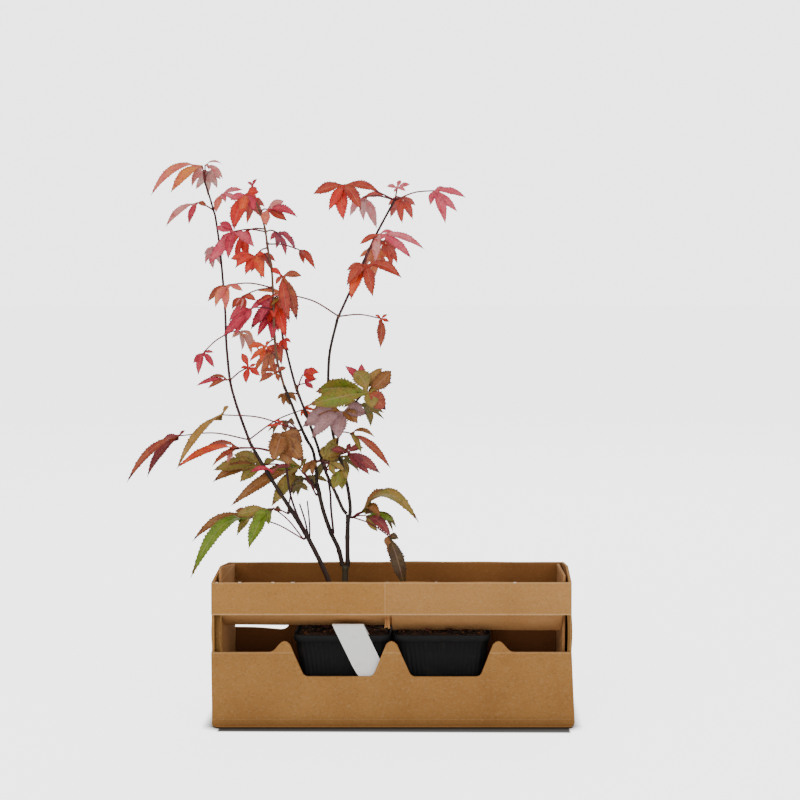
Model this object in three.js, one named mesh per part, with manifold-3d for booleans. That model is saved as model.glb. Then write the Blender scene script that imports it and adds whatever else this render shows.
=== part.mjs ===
// A young Japanese maple: a clump of slender stems from one root, in a square nursery pot that
// stands in the left bay of a folded kraft board planter, with a second pot of compost in its right
// bay. Millimetres, +X right, +Y back, +Z up.
// The origin is the middle of the planter's flat underside.
import * as THREE from "three";
import { mergeVertices } from "three/addons/utils/BufferGeometryUtils.js";
import Module from "manifold-3d";

const wasm = await Module();
wasm.setup();

// Planter board
const PLANTER = { length: 330, width: 102, board: 2.6, wallTop: 69, railBottom: 103, railTop: 133 };
const PEAK = { at: 98, top: 79, shoulder: 5, foot: 11, soft: 4 };
const WINDOW = { bottom: 46.6, inner: 17.5, outer: 80.5 };
const FLAP = { drop: 29, splitX: -0.6, inset: 8, board: 2.2 };
const FLAP_TURN = { front_left: 32, front_right: 42, back_left: 88, back_right: 88 };
const END = { humpTop: 138, humpAt: 4 };
const LINER = { x: 157.5, frontY: -36, backY: 46, leftFront: 144, rightFront: 137, back: 132 };
const GAP = 0.3;

// Pots, soil and label
const POT = { rim: 45, lip: 43.4, base: 34, corner: 9, wall: 1.5, top: 83.2, lipDepth: 6, floor: 2 };
const POT_PLACES = [["", -46], ["right_", 46]];
const SOIL_TOP = 79;
const LABEL = { width: 28, thick: 0.5, foot: 44, footX: -15.5, lean: 30, front: -46.5 };

// Stems and leaves
const PETIOLE = { root: 0.7, tip: 0.5, arch: 0.16, sunk: 0.07 };
const LEAF = { spread: 42, folding: 0.28, widest: 0.46, halfWidth: 0.115, sinus: 0.15, thick: 0.7,
  thickShare: 0.014 };
const LOBES = [[-2, 0.6], [-1, 0.9], [0, 1], [1, 0.9], [2, 0.6]];
const OUTER_SIDE = { angle: 32, reach: 0.1 };
const CLEARANCE = 0.5;
const SHOOT_FOOT = 2.5;
const TRUNK = { x: -47, from: 3.2, to: 2.7, flare: [7, 4.2, 3], flareStep: 5 };

const kraft = new THREE.MeshStandardMaterial({ color: 0xb08050, roughness: 0.9 });
const kraftInside = new THREE.MeshStandardMaterial({ color: 0x8a5a30, roughness: 0.95 });
const potBlack = new THREE.MeshStandardMaterial({ color: 0x141517, roughness: 0.55 });
const soilBrown = new THREE.MeshStandardMaterial({ color: 0x2e1c14, roughness: 1 });
const labelWhite = new THREE.MeshStandardMaterial({ color: 0xf0f0ee, roughness: 0.5 });
const barkDark = new THREE.MeshStandardMaterial({ color: 0x3d2422, roughness: 0.8 });
const scarlet = new THREE.MeshStandardMaterial({ color: 0xc4302a, roughness: 0.6 });
const coral = new THREE.MeshStandardMaterial({ color: 0xd46a5e, roughness: 0.6 });
const bronze = new THREE.MeshStandardMaterial({ color: 0x8e5a2e, roughness: 0.6 });
const olive = new THREE.MeshStandardMaterial({ color: 0x75762c, roughness: 0.6 });

const tree = new THREE.Group();

const vec = (point) => new THREE.Vector3(...point);
const radians = THREE.MathUtils.degToRad;

function addPart(name, geometry, material) {
  const mesh = new THREE.Mesh(geometry, material);
  mesh.name = name;
  tree.add(mesh);
}

// One small generator, so the leaves differ in the same way each time
let seed = 20613;
function random(low, high) {
  seed = (seed * 16807) % 2147483647;
  return low + ((high - low) * seed) / 2147483647;
}

// A closed geometry from corners and faces, turned so that its faces point out
function closedGeometry(corners, faces) {
  let volume = 0;
  for (const [a, b, c] of faces) {
    volume += corners[a].dot(corners[b].clone().cross(corners[c]));
  }
  const turned = volume < 0 ? faces.map(([a, b, c]) => [a, c, b]) : faces;
  const geometry = new THREE.BufferGeometry();
  const positions = corners.flatMap((corner) => corner.toArray());
  geometry.setAttribute("position", new THREE.Float32BufferAttribute(positions, 3));
  geometry.setIndex(turned.flat());
  return geometry;
}

// Rings of equal corner count, joined in turn and closed by a flat fan at each end
function loft(rings) {
  const count = rings[0].length;
  const faces = [];
  for (let k = 2; k < count; k++) {
    const last = (rings.length - 1) * count;
    faces.push([0, k, k - 1], [last, last + k - 1, last + k]);
  }
  for (let r = 1; r < rings.length; r++) {
    for (let k = 0; k < count; k++) {
      const here = r * count + k;
      const next = r * count + ((k + 1) % count);
      faces.push([here - count, next - count, next], [here - count, next, here]);
    }
  }
  return closedGeometry(rings.flat(), faces);
}

function toSolid(geometry) {
  const bare = geometry.clone();
  bare.deleteAttribute("normal");
  bare.deleteAttribute("uv");
  const merged = mergeVertices(bare, 1e-4);
  const vertProperties = new Float32Array(merged.attributes.position.array);
  const triVerts = new Uint32Array(merged.index.array);
  return new wasm.Manifold(new wasm.Mesh({ numProp: 3, vertProperties, triVerts }));
}

// The outer shell of a fused solid: a hollow sealed by the fusing is filled, a loose scrap dropped
function outerShell(triangles) {
  const owner = new Map();
  const find = (corner) => {
    let root = corner;
    while (owner.has(root) && owner.get(root) !== root) {
      root = owner.get(root);
    }
    owner.set(corner, root);
    return root;
  };
  for (let t = 0; t < triangles.length; t += 3) {
    const root = find(triangles[t]);
    owner.set(root, root);
    owner.set(find(triangles[t + 1]), root);
    owner.set(find(triangles[t + 2]), root);
  }
  const shells = new Map();
  for (let t = 0; t < triangles.length; t += 3) {
    const root = find(triangles[t]);
    shells.set(root, [...(shells.get(root) ?? []), ...triangles.slice(t, t + 3)]);
  }
  return [...shells.values()].reduce((a, b) => (b.length > a.length ? b : a));
}

function toGeometry(solid) {
  const { vertProperties, triVerts } = solid.getMesh();
  const geometry = new THREE.BufferGeometry();
  geometry.setAttribute("position", new THREE.BufferAttribute(vertProperties, 3));
  geometry.setIndex(outerShell(triVerts));
  return geometry;
}

// A shape drawn in x and z, made as thick as the board, with its front face at y
function uprightBoard(shape, y, thick) {
  const settings = { depth: thick, bevelEnabled: false, curveSegments: 4 };
  const geometry = new THREE.ExtrudeGeometry(shape, settings);
  return geometry.rotateX(Math.PI / 2).translate(0, y + thick, 0);
}

function polygon(points) {
  return new THREE.Shape(points.map(([x, y]) => new THREE.Vector2(x, y)));
}

// The lower wall: three rounded peaks with a dip between each two, and soft corners at their feet
function wallShape() {
  const half = PLANTER.length / 2;
  const shape = new THREE.Shape();
  const softCorner = (x, z, slope) => {
    const along = new THREE.Vector2(slope, PEAK.top - 3 - z).setLength(PEAK.soft);
    const ends = [[x - Math.sign(slope) * PEAK.soft, z], [x + along.x, z + along.y]];
    const [from, to] = slope > 0 ? ends : ends.reverse();
    shape.lineTo(...from);
    shape.quadraticCurveTo(x, z, ...to);
  };
  const roundPeak = (x, footLeft, baseLeft, footRight, baseRight) => {
    softCorner(x - footLeft, baseLeft, footLeft - PEAK.shoulder);
    shape.lineTo(x - PEAK.shoulder, PEAK.top - 3);
    shape.quadraticCurveTo(x, PEAK.top + 3, x + PEAK.shoulder, PEAK.top - 3);
    softCorner(x + footRight, baseRight, PEAK.shoulder - footRight);
  };
  const dipFoot = PEAK.at - WINDOW.outer;
  shape.moveTo(half, 0);
  shape.lineTo(-half, 0);
  shape.lineTo(-half, PLANTER.wallTop);
  roundPeak(-PEAK.at, PEAK.foot, PLANTER.wallTop, dipFoot, WINDOW.bottom);
  roundPeak(0, WINDOW.inner, WINDOW.bottom, WINDOW.inner, WINDOW.bottom);
  roundPeak(PEAK.at, dipFoot, WINDOW.bottom, PEAK.foot, PLANTER.wallTop);
  shape.lineTo(half, PLANTER.wallTop);
  return shape;
}

function buildPlanter() {
  const { length, width, board, railBottom, railTop } = PLANTER;
  const half = length / 2;
  const front = -width / 2;
  const inside = width / 2 - board - GAP;
  const floor = new THREE.BoxGeometry(length - 2 * (board + GAP), 2 * inside, board);
  addPart("planter_floor", floor.translate(0, 0, board / 2), kraftInside);
  const rail = polygon([[-half, railBottom], [half, railBottom], [half, railTop], [-half, railTop]]);
  for (const [side, y] of [["front", front], ["back", width / 2 - board]]) {
    addPart(`${side}_wall`, uprightBoard(wallShape(), y, board), kraft);
    addPart(`${side}_rail`, uprightBoard(rail, y, board), kraft);
    buildFlaps(side);
  }
  for (const [side, sign] of [["left", -1], ["right", 1]]) {
    buildEnd(side, sign, inside);
    buildLiner(side, sign);
  }
}

// Two flaps are turned in from each rail's lower fold: the front ones lie over the bays
function buildFlaps(side) {
  const { drop, splitX, inset, board } = FLAP;
  const half = PLANTER.length / 2 - inset;
  const fold = PLANTER.width / 2 - PLANTER.board - GAP;
  const spans = { left: [-half, splitX - GAP], right: [splitX + GAP, half] };
  for (const [end, [from, to]] of Object.entries(spans)) {
    const flap = new THREE.BoxGeometry(to - from, drop, board);
    const turn = radians(FLAP_TURN[`${side}_${end}`]);
    flap.translate((from + to) / 2, drop / 2, board / 2);
    flap.rotateX(-turn).translate(0, -fold, PLANTER.railBottom);
    if (side === "back") {
      flap.translate(-(from + to) / 2, 0, 0).rotateZ(Math.PI).translate((from + to) / 2, 0, 0);
    }
    addPart(`${side}_flap_${end}`, flap, kraftInside);
  }
}

// A shape drawn in y and z, made as thick as the board, with its left face at x
function endBoard(points, x, thick) {
  const geometry = new THREE.ExtrudeGeometry(polygon(points), { depth: thick, bevelEnabled: false });
  return geometry.rotateX(Math.PI / 2).rotateZ(Math.PI / 2).translate(x, 0, 0);
}

function buildEnd(side, sign, inside) {
  const { length, board, railTop } = PLANTER;
  const hump = [END.humpAt, END.humpTop];
  const outline = [[-inside, 0], [inside, 0], [inside, railTop], hump, [-inside, railTop]];
  const x = sign < 0 ? -length / 2 : length / 2 - board;
  addPart(`${side}_end`, endBoard(outline, x, board), kraft);
}

function buildLiner(side, sign) {
  const { x, frontY, backY, back } = LINER;
  const frontTop = LINER[`${side}Front`];
  const low = PLANTER.board + GAP;
  const outline = [[frontY, low], [backY, low], [backY, back], [frontY, frontTop]];
  const left = sign < 0 ? -x - PLANTER.board : x;
  addPart(`${side}_liner`, endBoard(outline, left, PLANTER.board), kraftInside);
}

// A square ring with rounded corners round a pot's middle
function squareRing(middle, half, z) {
  const ring = [];
  for (let quarter = 0; quarter < 4; quarter++) {
    for (const step of [0, 30, 60, 90]) {
      const turn = radians(quarter * 90 + step);
      const cornerX = Math.sign(Math.cos(radians(quarter * 90 + 45))) * (half - POT.corner);
      const cornerY = Math.sign(Math.sin(radians(quarter * 90 + 45))) * (half - POT.corner);
      const x = middle + cornerX + POT.corner * Math.cos(turn);
      ring.push(vec([x, cornerY + POT.corner * Math.sin(turn), z]));
    }
  }
  return ring;
}

function buildPot(prefix, middle) {
  const { rim, lip, base, wall, top, lipDepth, floor } = POT;
  const ring = (half, z) => squareRing(middle, half, z);
  const bottom = PLANTER.board + GAP;
  const lipBottom = top - lipDepth;
  const halfAt = (z) => base + ((lip - base) * (z - bottom)) / (lipBottom - bottom);
  const cup = loft([
    ring(base, bottom),
    ring(lip, lipBottom),
    ring(rim, lipBottom),
    ring(rim, top),
    ring(rim - wall, top),
    ring(lip - wall, lipBottom),
    ring(halfAt(bottom + floor) - wall, bottom + floor),
  ]);
  addPart(`${prefix}pot`, cup, potBlack);
  const soilBottom = bottom + floor + GAP;
  const soil = loft([
    ring(halfAt(soilBottom) - wall - GAP, soilBottom),
    ring(halfAt(SOIL_TOP) - wall - GAP, SOIL_TOP),
  ]);
  addPart(`${prefix}soil`, soil, soilBrown);
}

// A plant label: a plastic strip bent over the left pot's rim
function buildLabel() {
  const { width, thick, foot, footX, lean, front } = LABEL;
  const top = POT.top;
  const centre = [
    [front, foot], [front, top + 6], [front + 0.9, top + 9], [front + 3.2, top + 10.2],
    [front + 6, top + 8], [front + 7.8, SOIL_TOP + 0.8],
  ];
  const rings = centre.map(([y, z], k) => {
    const before = centre[Math.max(k - 1, 0)];
    const after = centre[Math.min(k + 1, centre.length - 1)];
    const along = new THREE.Vector2(after[0] - before[0], after[1] - before[1]).normalize();
    const across = [(-along.y * thick) / 2, (along.x * thick) / 2];
    const middle = footX - (z - foot) * Math.tan(radians(lean));
    const side = width / 2 / Math.cos(radians(lean));
    return [[-1, -1], [1, -1], [1, 1], [-1, 1]].map(([across1, depth]) =>
      vec([middle + across1 * side, y + depth * across[0], z + depth * across[1]]));
  });
  addPart("label", loft(rings), labelWhite);
}

// A limb's centre line, its radius along it and the points that carry its leaves
class Limb {
  constructor(points, fromRadius, toRadius) {
    this.points = points;
    this.curve = new THREE.CatmullRomCurve3(points, false, "catmullrom", 0.5);
    this.fromRadius = fromRadius;
    this.toRadius = toRadius;
  }

  share(at) {
    return at / (this.points.length - 1);
  }

  at(index) {
    return this.curve.getPoint(this.share(index));
  }

  radius(share) {
    return THREE.MathUtils.lerp(this.fromRadius, this.toRadius, share);
  }

  tangent(share) {
    const ahead = this.curve.getPoint(Math.min(share + 0.001, 1));
    return ahead.sub(this.curve.getPoint(Math.max(share - 0.001, 0))).normalize();
  }

  solid(sides = 6, steps = 2) {
    const count = (this.points.length - 1) * steps;
    const rings = [];
    let across = new THREE.Vector3(0.31, -0.95, 0.1);
    for (let k = 0; k <= count; k++) {
      const centre = this.curve.getPoint(k / count);
      const along = this.tangent(k / count);
      across = across.clone().addScaledVector(along, -across.dot(along)).normalize();
      const third = along.clone().cross(across);
      const ring = [];
      for (let s = 0; s < sides; s++) {
        const turn = (2 * Math.PI * s) / sides;
        const spoke = across.clone().multiplyScalar(Math.cos(turn)).addScaledVector(third, Math.sin(turn));
        ring.push(centre.clone().addScaledVector(spoke, this.radius(k / count)));
      }
      rings.push(ring);
    }
    return toSolid(loft(rings));
  }
}

// The blade's own axes: along the middle lobe, across it, and out of its upper side
function bladeAxes(heading, droop, face) {
  const level = Math.cos(radians(droop));
  const along = vec([
    Math.cos(radians(heading)) * level,
    Math.sin(radians(heading)) * level,
    -Math.sin(radians(droop)),
  ]);
  const upper = vec([0, -Math.sin(radians(face)), Math.cos(radians(face))]);
  if (face === 0) {
    upper.addScaledVector(vec([Math.cos(radians(heading)), Math.sin(radians(heading)), 0]), 0.05);
  }
  upper.addScaledVector(along, -upper.dot(along)).normalize();
  return { along, upper, across: along.clone().cross(upper) };
}

// A palmate blade: five pointed lobes that thin out to their edges and bend down to their tips
function bladeSolid(foot, axes, blade, form, thick) {
  const corners = [];
  const faces = [];
  const put = (angle, reach, lift) => {
    const bend = (form.curl * reach * reach) / blade;
    const corner = foot.clone()
      .addScaledVector(axes.along, reach * Math.cos(radians(angle)))
      .addScaledVector(axes.across, reach * Math.sin(radians(angle)))
      .addScaledVector(axes.upper, lift - bend);
    return corners.push(corner) - 1;
  };
  const top = put(0, 0, thick / 2);
  const under = put(0, 0, -thick / 2);
  const lobes = form.lobes;
  let before = put(lobes[0].angle - OUTER_SIDE.angle, blade * OUTER_SIDE.reach, 0);
  const first = before;
  const open = THREE.MathUtils.radToDeg(Math.atan2(LEAF.halfWidth, LEAF.widest));
  for (let k = 0; k < lobes.length; k++) {
    const { angle, length } = lobes[k];
    const widest = Math.hypot(LEAF.widest, LEAF.halfWidth) * length;
    const nearSide = put(angle - open, widest, 0);
    const tip = put(angle, length, 0);
    const farSide = put(angle + open, widest, 0);
    const isLast = k === lobes.length - 1;
    const after = isLast
      ? put(angle + OUTER_SIDE.angle, blade * OUTER_SIDE.reach, 0)
      : put((angle + lobes[k + 1].angle) / 2, blade * LEAF.sinus, 0);
    for (const [sign, hub] of [[1, top], [-1, under]]) {
      const rib = put(angle, LEAF.widest * length, (sign * thick) / 2);
      const loop = [hub, before, nearSide, tip, farSide, after];
      loop.forEach((corner, c) => {
        const next = loop[(c + 1) % loop.length];
        faces.push(sign > 0 ? [rib, corner, next] : [rib, next, corner]);
      });
    }
    before = after;
  }
  faces.push([top, under, first], [under, top, before]);
  return toSolid(closedGeometry(corners, faces));
}

// Each leaf's own lobe lengths, lobe angles and curl; a leaf that hangs folds its lobes together
function bladeForm(blade, droop) {
  const curl = random(0.2, 0.4);
  const spread = LEAF.spread - LEAF.folding * Math.max(droop, 0);
  const lobes = LOBES.map(([place, share]) => ({
    angle: place * spread + random(-5, 5),
    length: blade * share * (place === 0 ? 1 : random(0.85, 1.05)),
  }));
  return { curl, lobes };
}

function leafParts(limb, row) {
  const [node, right, back, up, blade, heading, droop, face] = row;
  const root = limb.at(node);
  const foot = root.clone().add(vec([right, back, up]));
  const axes = bladeAxes(heading, droop, face);
  const form = bladeForm(blade, droop);
  const thick = Math.max(LEAF.thick, LEAF.thickShare * blade);
  const end = foot.clone().addScaledVector(axes.along, PETIOLE.sunk * blade);
  const span = root.distanceTo(end);
  const bow = root.clone().lerp(end, 0.5).add(vec([0, 0, PETIOLE.arch * span]));
  const stalk = (extra) => new Limb([root, bow, end], PETIOLE.root + extra, PETIOLE.tip + extra);
  const grown = (extra) =>
    stalk(extra).solid(3, 2).add(bladeSolid(foot, axes, blade, form, thick + 2 * extra));
  return { leaf: grown(0), nearby: grown(CLEARANCE) };
}

const limbs = {};
let taken = null;

function claim(solid) {
  taken = taken ? taken.add(solid) : solid;
}

function addLimb(name, points, fromRadius, toRadius, stubs = []) {
  const limb = new Limb(points.map(vec), fromRadius, toRadius);
  limbs[name] = limb;
  let solid = limb.solid();
  for (const stub of stubs) {
    solid = solid.add(new Limb(stub.points.map(vec), stub.radius, stub.radius * 0.8).solid(5, 2));
  }
  claim(solid);
  addPart(name, toGeometry(solid), barkDark);
}

// The first points of a mass's stem: clear of its limb's tip, or standing out square from its side
function springFrom(limb, at, toward) {
  const share = limb.share(at);
  const along = limb.tangent(share);
  if (!toward) {
    return [limb.at(at).addScaledVector(along, GAP)];
  }
  const outward = vec(toward);
  outward.addScaledVector(along, -outward.dot(along)).normalize();
  const start = limb.at(at).addScaledVector(outward, limb.radius(share) + GAP);
  return [start, start.clone().addScaledVector(outward, SHOOT_FOOT)];
}

function addMass({ name, from, at, toward, path = [], radii, leaves, material }) {
  const limb = limbs[from];
  const spring = springFrom(limb, at ?? limb.points.length - 1, toward);
  const stem = new Limb([...spring, ...path.map(vec)], radii[0], radii[1]);
  let solid = stem.solid(5, 2);
  for (const row of leaves) {
    const { leaf, nearby } = leafParts(stem, row);
    const isClear = nearby.intersect(taken).volume() === 0;
    if (isClear) {
      solid = solid.add(leaf);
    }
  }
  claim(solid);
  addPart(name, toGeometry(solid), material);
}

function buildStems() {
  const ground = SOIL_TOP + GAP;
  const sides = 8;
  const flare = loft(TRUNK.flare.map((radius, k) =>
    Array.from({ length: sides }, (_, s) => {
      const turn = (2 * Math.PI * s) / sides;
      const x = TRUNK.x + radius * Math.cos(turn);
      return vec([x, radius * Math.sin(turn), ground + k * TRUNK.flareStep]);
    })));
  const line = [[TRUNK.x, 0, ground], [TRUNK.x, 0, 100], [-46.4, 0, 120], [-46.2, 0, 139]];
  const trunk = new Limb(line.map(vec), TRUNK.from, TRUNK.to);
  const foot = trunk.solid(sides, 2).add(toSolid(flare));
  claim(foot);
  addPart("trunk", toGeometry(foot), barkDark);

  addLimb("left_stem", [
    [-57.5, 8, ground], [-59.5, 7, 100], [-62.7, 4, 124.4], [-80.5, 2, 162.8], [-97.5, 1, 191.5],
    [-112.7, 1, 215.2], [-127.1, 2, 238.8], [-136.2, 3, 254.2],
  ], 2.4, 1.3, [
    { points: [[-81, 3, 163], [-84.5, 4.5, 180], [-90, 5, 197]], radius: 1 },
    { points: [[-80, 2.5, 163], [-80.5, 3.5, 180], [-82.6, 4, 200]], radius: 0.9 },
  ]);
  addLimb("middle_stem", [
    [-48.9, -0.6, 140.2], [-52.8, -1, 155.8], [-59.4, -1, 170], [-66.8, -3, 192.1], [-72.4, -4, 217.5],
  ], 2, 1.6, [{ points: [[-70.5, -3.6, 209], [-75, -5, 216], [-78, -6, 221.5]], radius: 1.4 }]);
  addLimb("right_stem", [[-43.9, 0.6, 139.4], [-44.2, 1, 163], [-43.5, 2, 187.2]], 2, 1.8);
  addLimb("tall_bough", [
    [-41.8, 1.4, 187.6], [-41.6, 1.5, 196], [-44.3, 0, 215.4], [-50.8, -2, 240.3], [-55.4, -4, 255.7],
    [-58.4, -6, 271], [-62, -8, 290], [-61.5, -10, 305.4], [-59.7, -13, 340.4], [-52.1, -16, 373],
  ], 1.5, 1);
  addLimb("inner_bough", [
    [-45.8, 2.8, 188.6], [-49.3, 3.3, 193.4], [-55.5, 4, 207.2], [-63.7, 5, 224.2], [-70.4, 6, 243.1],
    [-73.8, 6, 254.5], [-84.5, 8, 283.9],
  ], 1.4, 1.1);
  addLimb("red_bough", [
    [-72.6, -4, 217.9], [-73.3, -4, 230.1], [-76.1, -5, 248.2], [-82.7, -5, 260.5], [-90.2, -6, 277.7],
    [-95.7, -7, 291.9], [-103.2, -8, 310.5],
  ], 1.3, 1.1);
}

// Each mass is one stem that goes on from a limb's tip, or stands out from its side at a place that
// is counted in the limb's points. Each leaf: the place on that stem, the blade's foot to the right,
// back and up of it, blade length, heading (0 right, 90 back), droop, and how far its upper side
// leans to the front. A leaf that would touch what is already there is left out.
const MASSES = [
  {
    name: "left_crown", from: "left_stem", radii: [1.2, 0.65], material: coral,
    path: [
      [-145.6, 5, 278.5], [-151.6, 7, 295.4], [-156.6, 9, 314.3], [-159.8, 11, 341.9], [-160.9, 12, 358.1],
      [-162, 13, 384.9], [-166.7, 16, 435.6], [-171.4, 18, 468.3], [-173.7, 18.5, 477], [-177.6, 19, 490.4],
      [-182.3, 20, 503.9],
    ],
    leaves: [
      [0.15, -68, -12, 5, 60, 205, 40, 0],
      [0.15, 50, 9, 28, 22, 60, 30, 0],
      [3, -1, -4, 1, 28, 190, 12, 0],
      [3, 19, -8, 13, 18, 295, 30, 40],
      [5, -22, -8, -17, 22, 240, 72, 0],
      [5, 10, 22, 2, 28, 50, 40, 0],
      [11, -2, -2, 16, 54, 202, 28, 0],
      [11, 0, 3, 17, 26, 325, 30, 0],
      [9, 7, 6, 16, 23, 305, 25, 0],
      [9, -15, -6, 7, 38, 208, 42, 0],
      [11, 0, 20, 12, 28, 100, 40, 0],
    ],
  },
  {
    name: "tall_crown", from: "tall_bough", radii: [1, 0.8], material: scarlet,
    path: [
      [-40.2, -18, 398.9], [-28.4, -20, 424.2], [-22.4, -21, 437.3], [-14.9, -22, 453.2], [0.4, -24, 481.2],
      [2.4, -24, 484],
    ],
    leaves: [
      [0.1, -46, 16, 20, 32, 185, 12, 80],
      [0.1, 40, -6, -2, 15, 300, 20, 30],
      [3, -2, -20, -13, 36, 272, 62, 20],
      [3, 11, -18, 15, 42, 312, 40, 30],
      [6, -47, -8, 14, 36, 250, 58, 30],
      [6, -31, 16, 4, 34, 285, 62, 0],
      [6, 36, -14, 8, 32, 322, 45, 20],
      [6, 2, 0, 11, 13, 275, -15, 50],
      [6, 4, 28, 4, 26, 90, 45, 0],
      [3, 4, 28, 2, 30, 100, 45, 0],
      [3, 12, 24, 10, 30, 60, 50, 0],
    ],
  },
  {
    name: "red_crown", from: "red_bough", radii: [1.1, 0.7], material: scarlet,
    path: [
      [-106.5, -8, 322.2], [-109.7, -9, 335.5], [-111.6, -9, 354.4], [-112.4, -10, 381.8],
      [-113.3, -10, 402.5], [-114.2, -11, 419.5], [-117.8, -12, 440.2], [-119.7, -12, 455.2],
      [-122.4, -13, 466.5], [-127.1, -13, 479.7], [-131.7, -14, 489],
    ],
    leaves: [
      [1, -2, -14, 1, 18, 250, 30, 40],
      [3, -6, -18, -6, 28, 225, 45, 40],
      [4, -19, -14, 2, 40, 212, 50, 20],
      [5, -40, -12, 3, 30, 220, 55, 20],
      [5, -28, -7, -8, 26, 240, 50, 30],
      [6, 13, -24, -6, 45, 280, 75, 0],
      [7, -8, -24, -8, 29, 250, 55, 40],
      [7.2, 29, 10, -5, 22, 335, 45, 10],
      [8, -28, -12, 0, 32, 240, 55, 30],
      [8.2, -22, 16, -2, 34, 235, 60, 10],
      [9.5, 9, -20, 2, 36, 335, 22, 45],
      [11, -3, -22, 0, 34, 258, 62, 30],
      [11, 0, -1, 8, 13, 300, -20, 60],
      [2, -8, 26, 4, 28, 130, 40, 0],
      [6, -10, 24, 16, 26, 110, 50, 0],
      [8, 8, 26, 0, 26, 60, 45, 0],
      [10.5, -4, 24, 2, 26, 120, 40, 0],
    ],
  },
  {
    name: "inner_crown", from: "inner_bough", radii: [1.1, 0.8], material: scarlet,
    path: [
      [-92.7, 9, 304.8], [-97.6, 10, 320.9], [-103.4, 11, 343.8], [-106.4, 12, 354.3], [-111.3, 13, 384.9],
      [-114.1, 13, 393.5],
    ],
    leaves: [
      [1, 6, -5, 15, 15, 0, 0, 30],
      [1.2, 14, 3, 3, 12, 340, 10, 30],
      [0.8, -12, -7, 2, 16, 280, 50, 30],
      [4, 1, -7, 0, 14, 300, 65, 0],
      [5.3, 0, -6, 1, 40, 270, 84, 0],
      [6, 9, 8, 3, 27, 176, 2, 0],
      [3, -8, 16, 4, 30, 130, 45, 0],
    ],
  },
  {
    name: "side_shoot", from: "left_stem", at: 3.3, toward: [0.3, -1, 0.3],
    radii: [1, 0.7], material: bronze,
    path: [
      [-87.5, -4, 180], [-91.4, -5, 188.5], [-97.3, -6, 206.6], [-100, -7, 224.7], [-101.9, -8, 243.8],
      [-102.7, -8, 265.6],
    ],
    leaves: [
      [7, -1, -12, 2, 38, 300, 55, 30],
      [6, -42, -6, 9, 56, 195, 15, 0],
      [5.5, -24, 16, -1, 52, 190, 15, 65],
    ],
  },
  {
    name: "foot_spray", from: "left_stem", at: 3.1, toward: [-1, -0.4, 0.5],
    radii: [1, 0.8], material: olive,
    leaves: [
      [1, -51, 10, 19, 68, 186, 40, 24],
      [1, -20, 18, 14, 34, 155, 30, 0],
    ],
  },
  {
    name: "knee_spray", from: "left_stem", at: 3.97, toward: [-1, -0.2, 0.6],
    radii: [1, 0.8], material: olive,
    leaves: [
      [1, -16, -22, 8, 36, 235, 55, 20],
      [1, 4, 24, 2, 30, 80, 40, 0],
    ],
  },
  {
    name: "stub_spray", from: "middle_stem", at: 3.6, toward: [-1, 0.6, 0.6],
    radii: [1, 0.8], material: bronze,
    leaves: [
      [1, -20, 26, 23, 62, 170, 22, 50],
      [1, -16, 16, 24, 30, 170, 8, 50],
    ],
  },
  {
    name: "right_spray", from: "right_stem", at: 1.9, toward: [1, -0.2, 0.3], radii: [1, 0.8],
    material: bronze,
    leaves: [
      [1, 8, -6, 6, 56, 345, 0, 15],
      [1, 12, 4, 1, 29, 330, 25, 40],
      [1, 38, -10, -25, 44, 320, 75, 0],
      [1, 18, 18, 3, 32, 45, 25, 0],
    ],
  },
  {
    name: "centre_shoot", from: "middle_stem", at: 2.05, toward: [0.6, -0.8, 0.2], radii: [1, 0.8],
    material: olive,
    path: [[-58.9, -7, 192.7], [-59.8, -8, 210.8], [-63.5, -9, 230.8], [-67.2, -9, 238.3]],
    leaves: [
      [4.5, 22, -6, 13, 36, 310, 45, 30],
      [5, 1, -4, 3, 27, 320, -35, 50],
      [4, 14, -6, 2, 22, 270, 78, 0],
      [4, 4, -6, 8, 16, 330, 40, 40],
      [5, -10, -4, 2, 17, 235, 60, 30],
      [4, -4, 26, 6, 34, 110, 20, 20],
      [5, 14, 22, 2, 34, 80, 30, 10],
    ],
  },
  {
    name: "centre_fan", from: "tall_bough", at: 4, toward: [0.5, -0.8, 0.2],
    radii: [1, 0.7], material: olive,
    path: [[-50.5, -12, 266.5], [-45, -16, 278.7], [-37.4, -18, 292], [-30.5, -18, 301]],
    leaves: [
      [5, 8, -14, 5, 52, 190, 10, 60],
      [5, 4, 4, 8, 30, 330, -30, 50],
      [3, -2, -10, 9, 44, 225, 45, 50],
      [2, 10, -4, 0, 46, 345, 22, 0],
      [4, 6, 22, 0, 38, 70, 25, 10],
    ],
  },
  {
    name: "gold_spray", from: "red_bough", at: 3.5, toward: [-1, -0.4, 0.3], radii: [0.9, 0.7],
    material: bronze,
    leaves: [
      [1, -70, -22, 16, 60, 200, 46, 0],
      [1, -11, -13, 7, 20, 190, 5, 0],
      [1, -12, 14, 8, 26, 140, 20, 0],
    ],
  },
];

buildPlanter();
POT_PLACES.forEach(([prefix, middle]) => buildPot(prefix, middle));
buildLabel();
buildStems();
MASSES.forEach(addMass);

export default tree;
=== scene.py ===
# A young Japanese maple in autumn leaf: slender stems in a square nursery pot, which stands in the
# left bay of a folded kraft board planter beside a second pot. Metres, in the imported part's frame.
import math
import random

import bmesh
import bpy
import numpy as np
from mathutils import Matrix, Vector, noise


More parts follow.
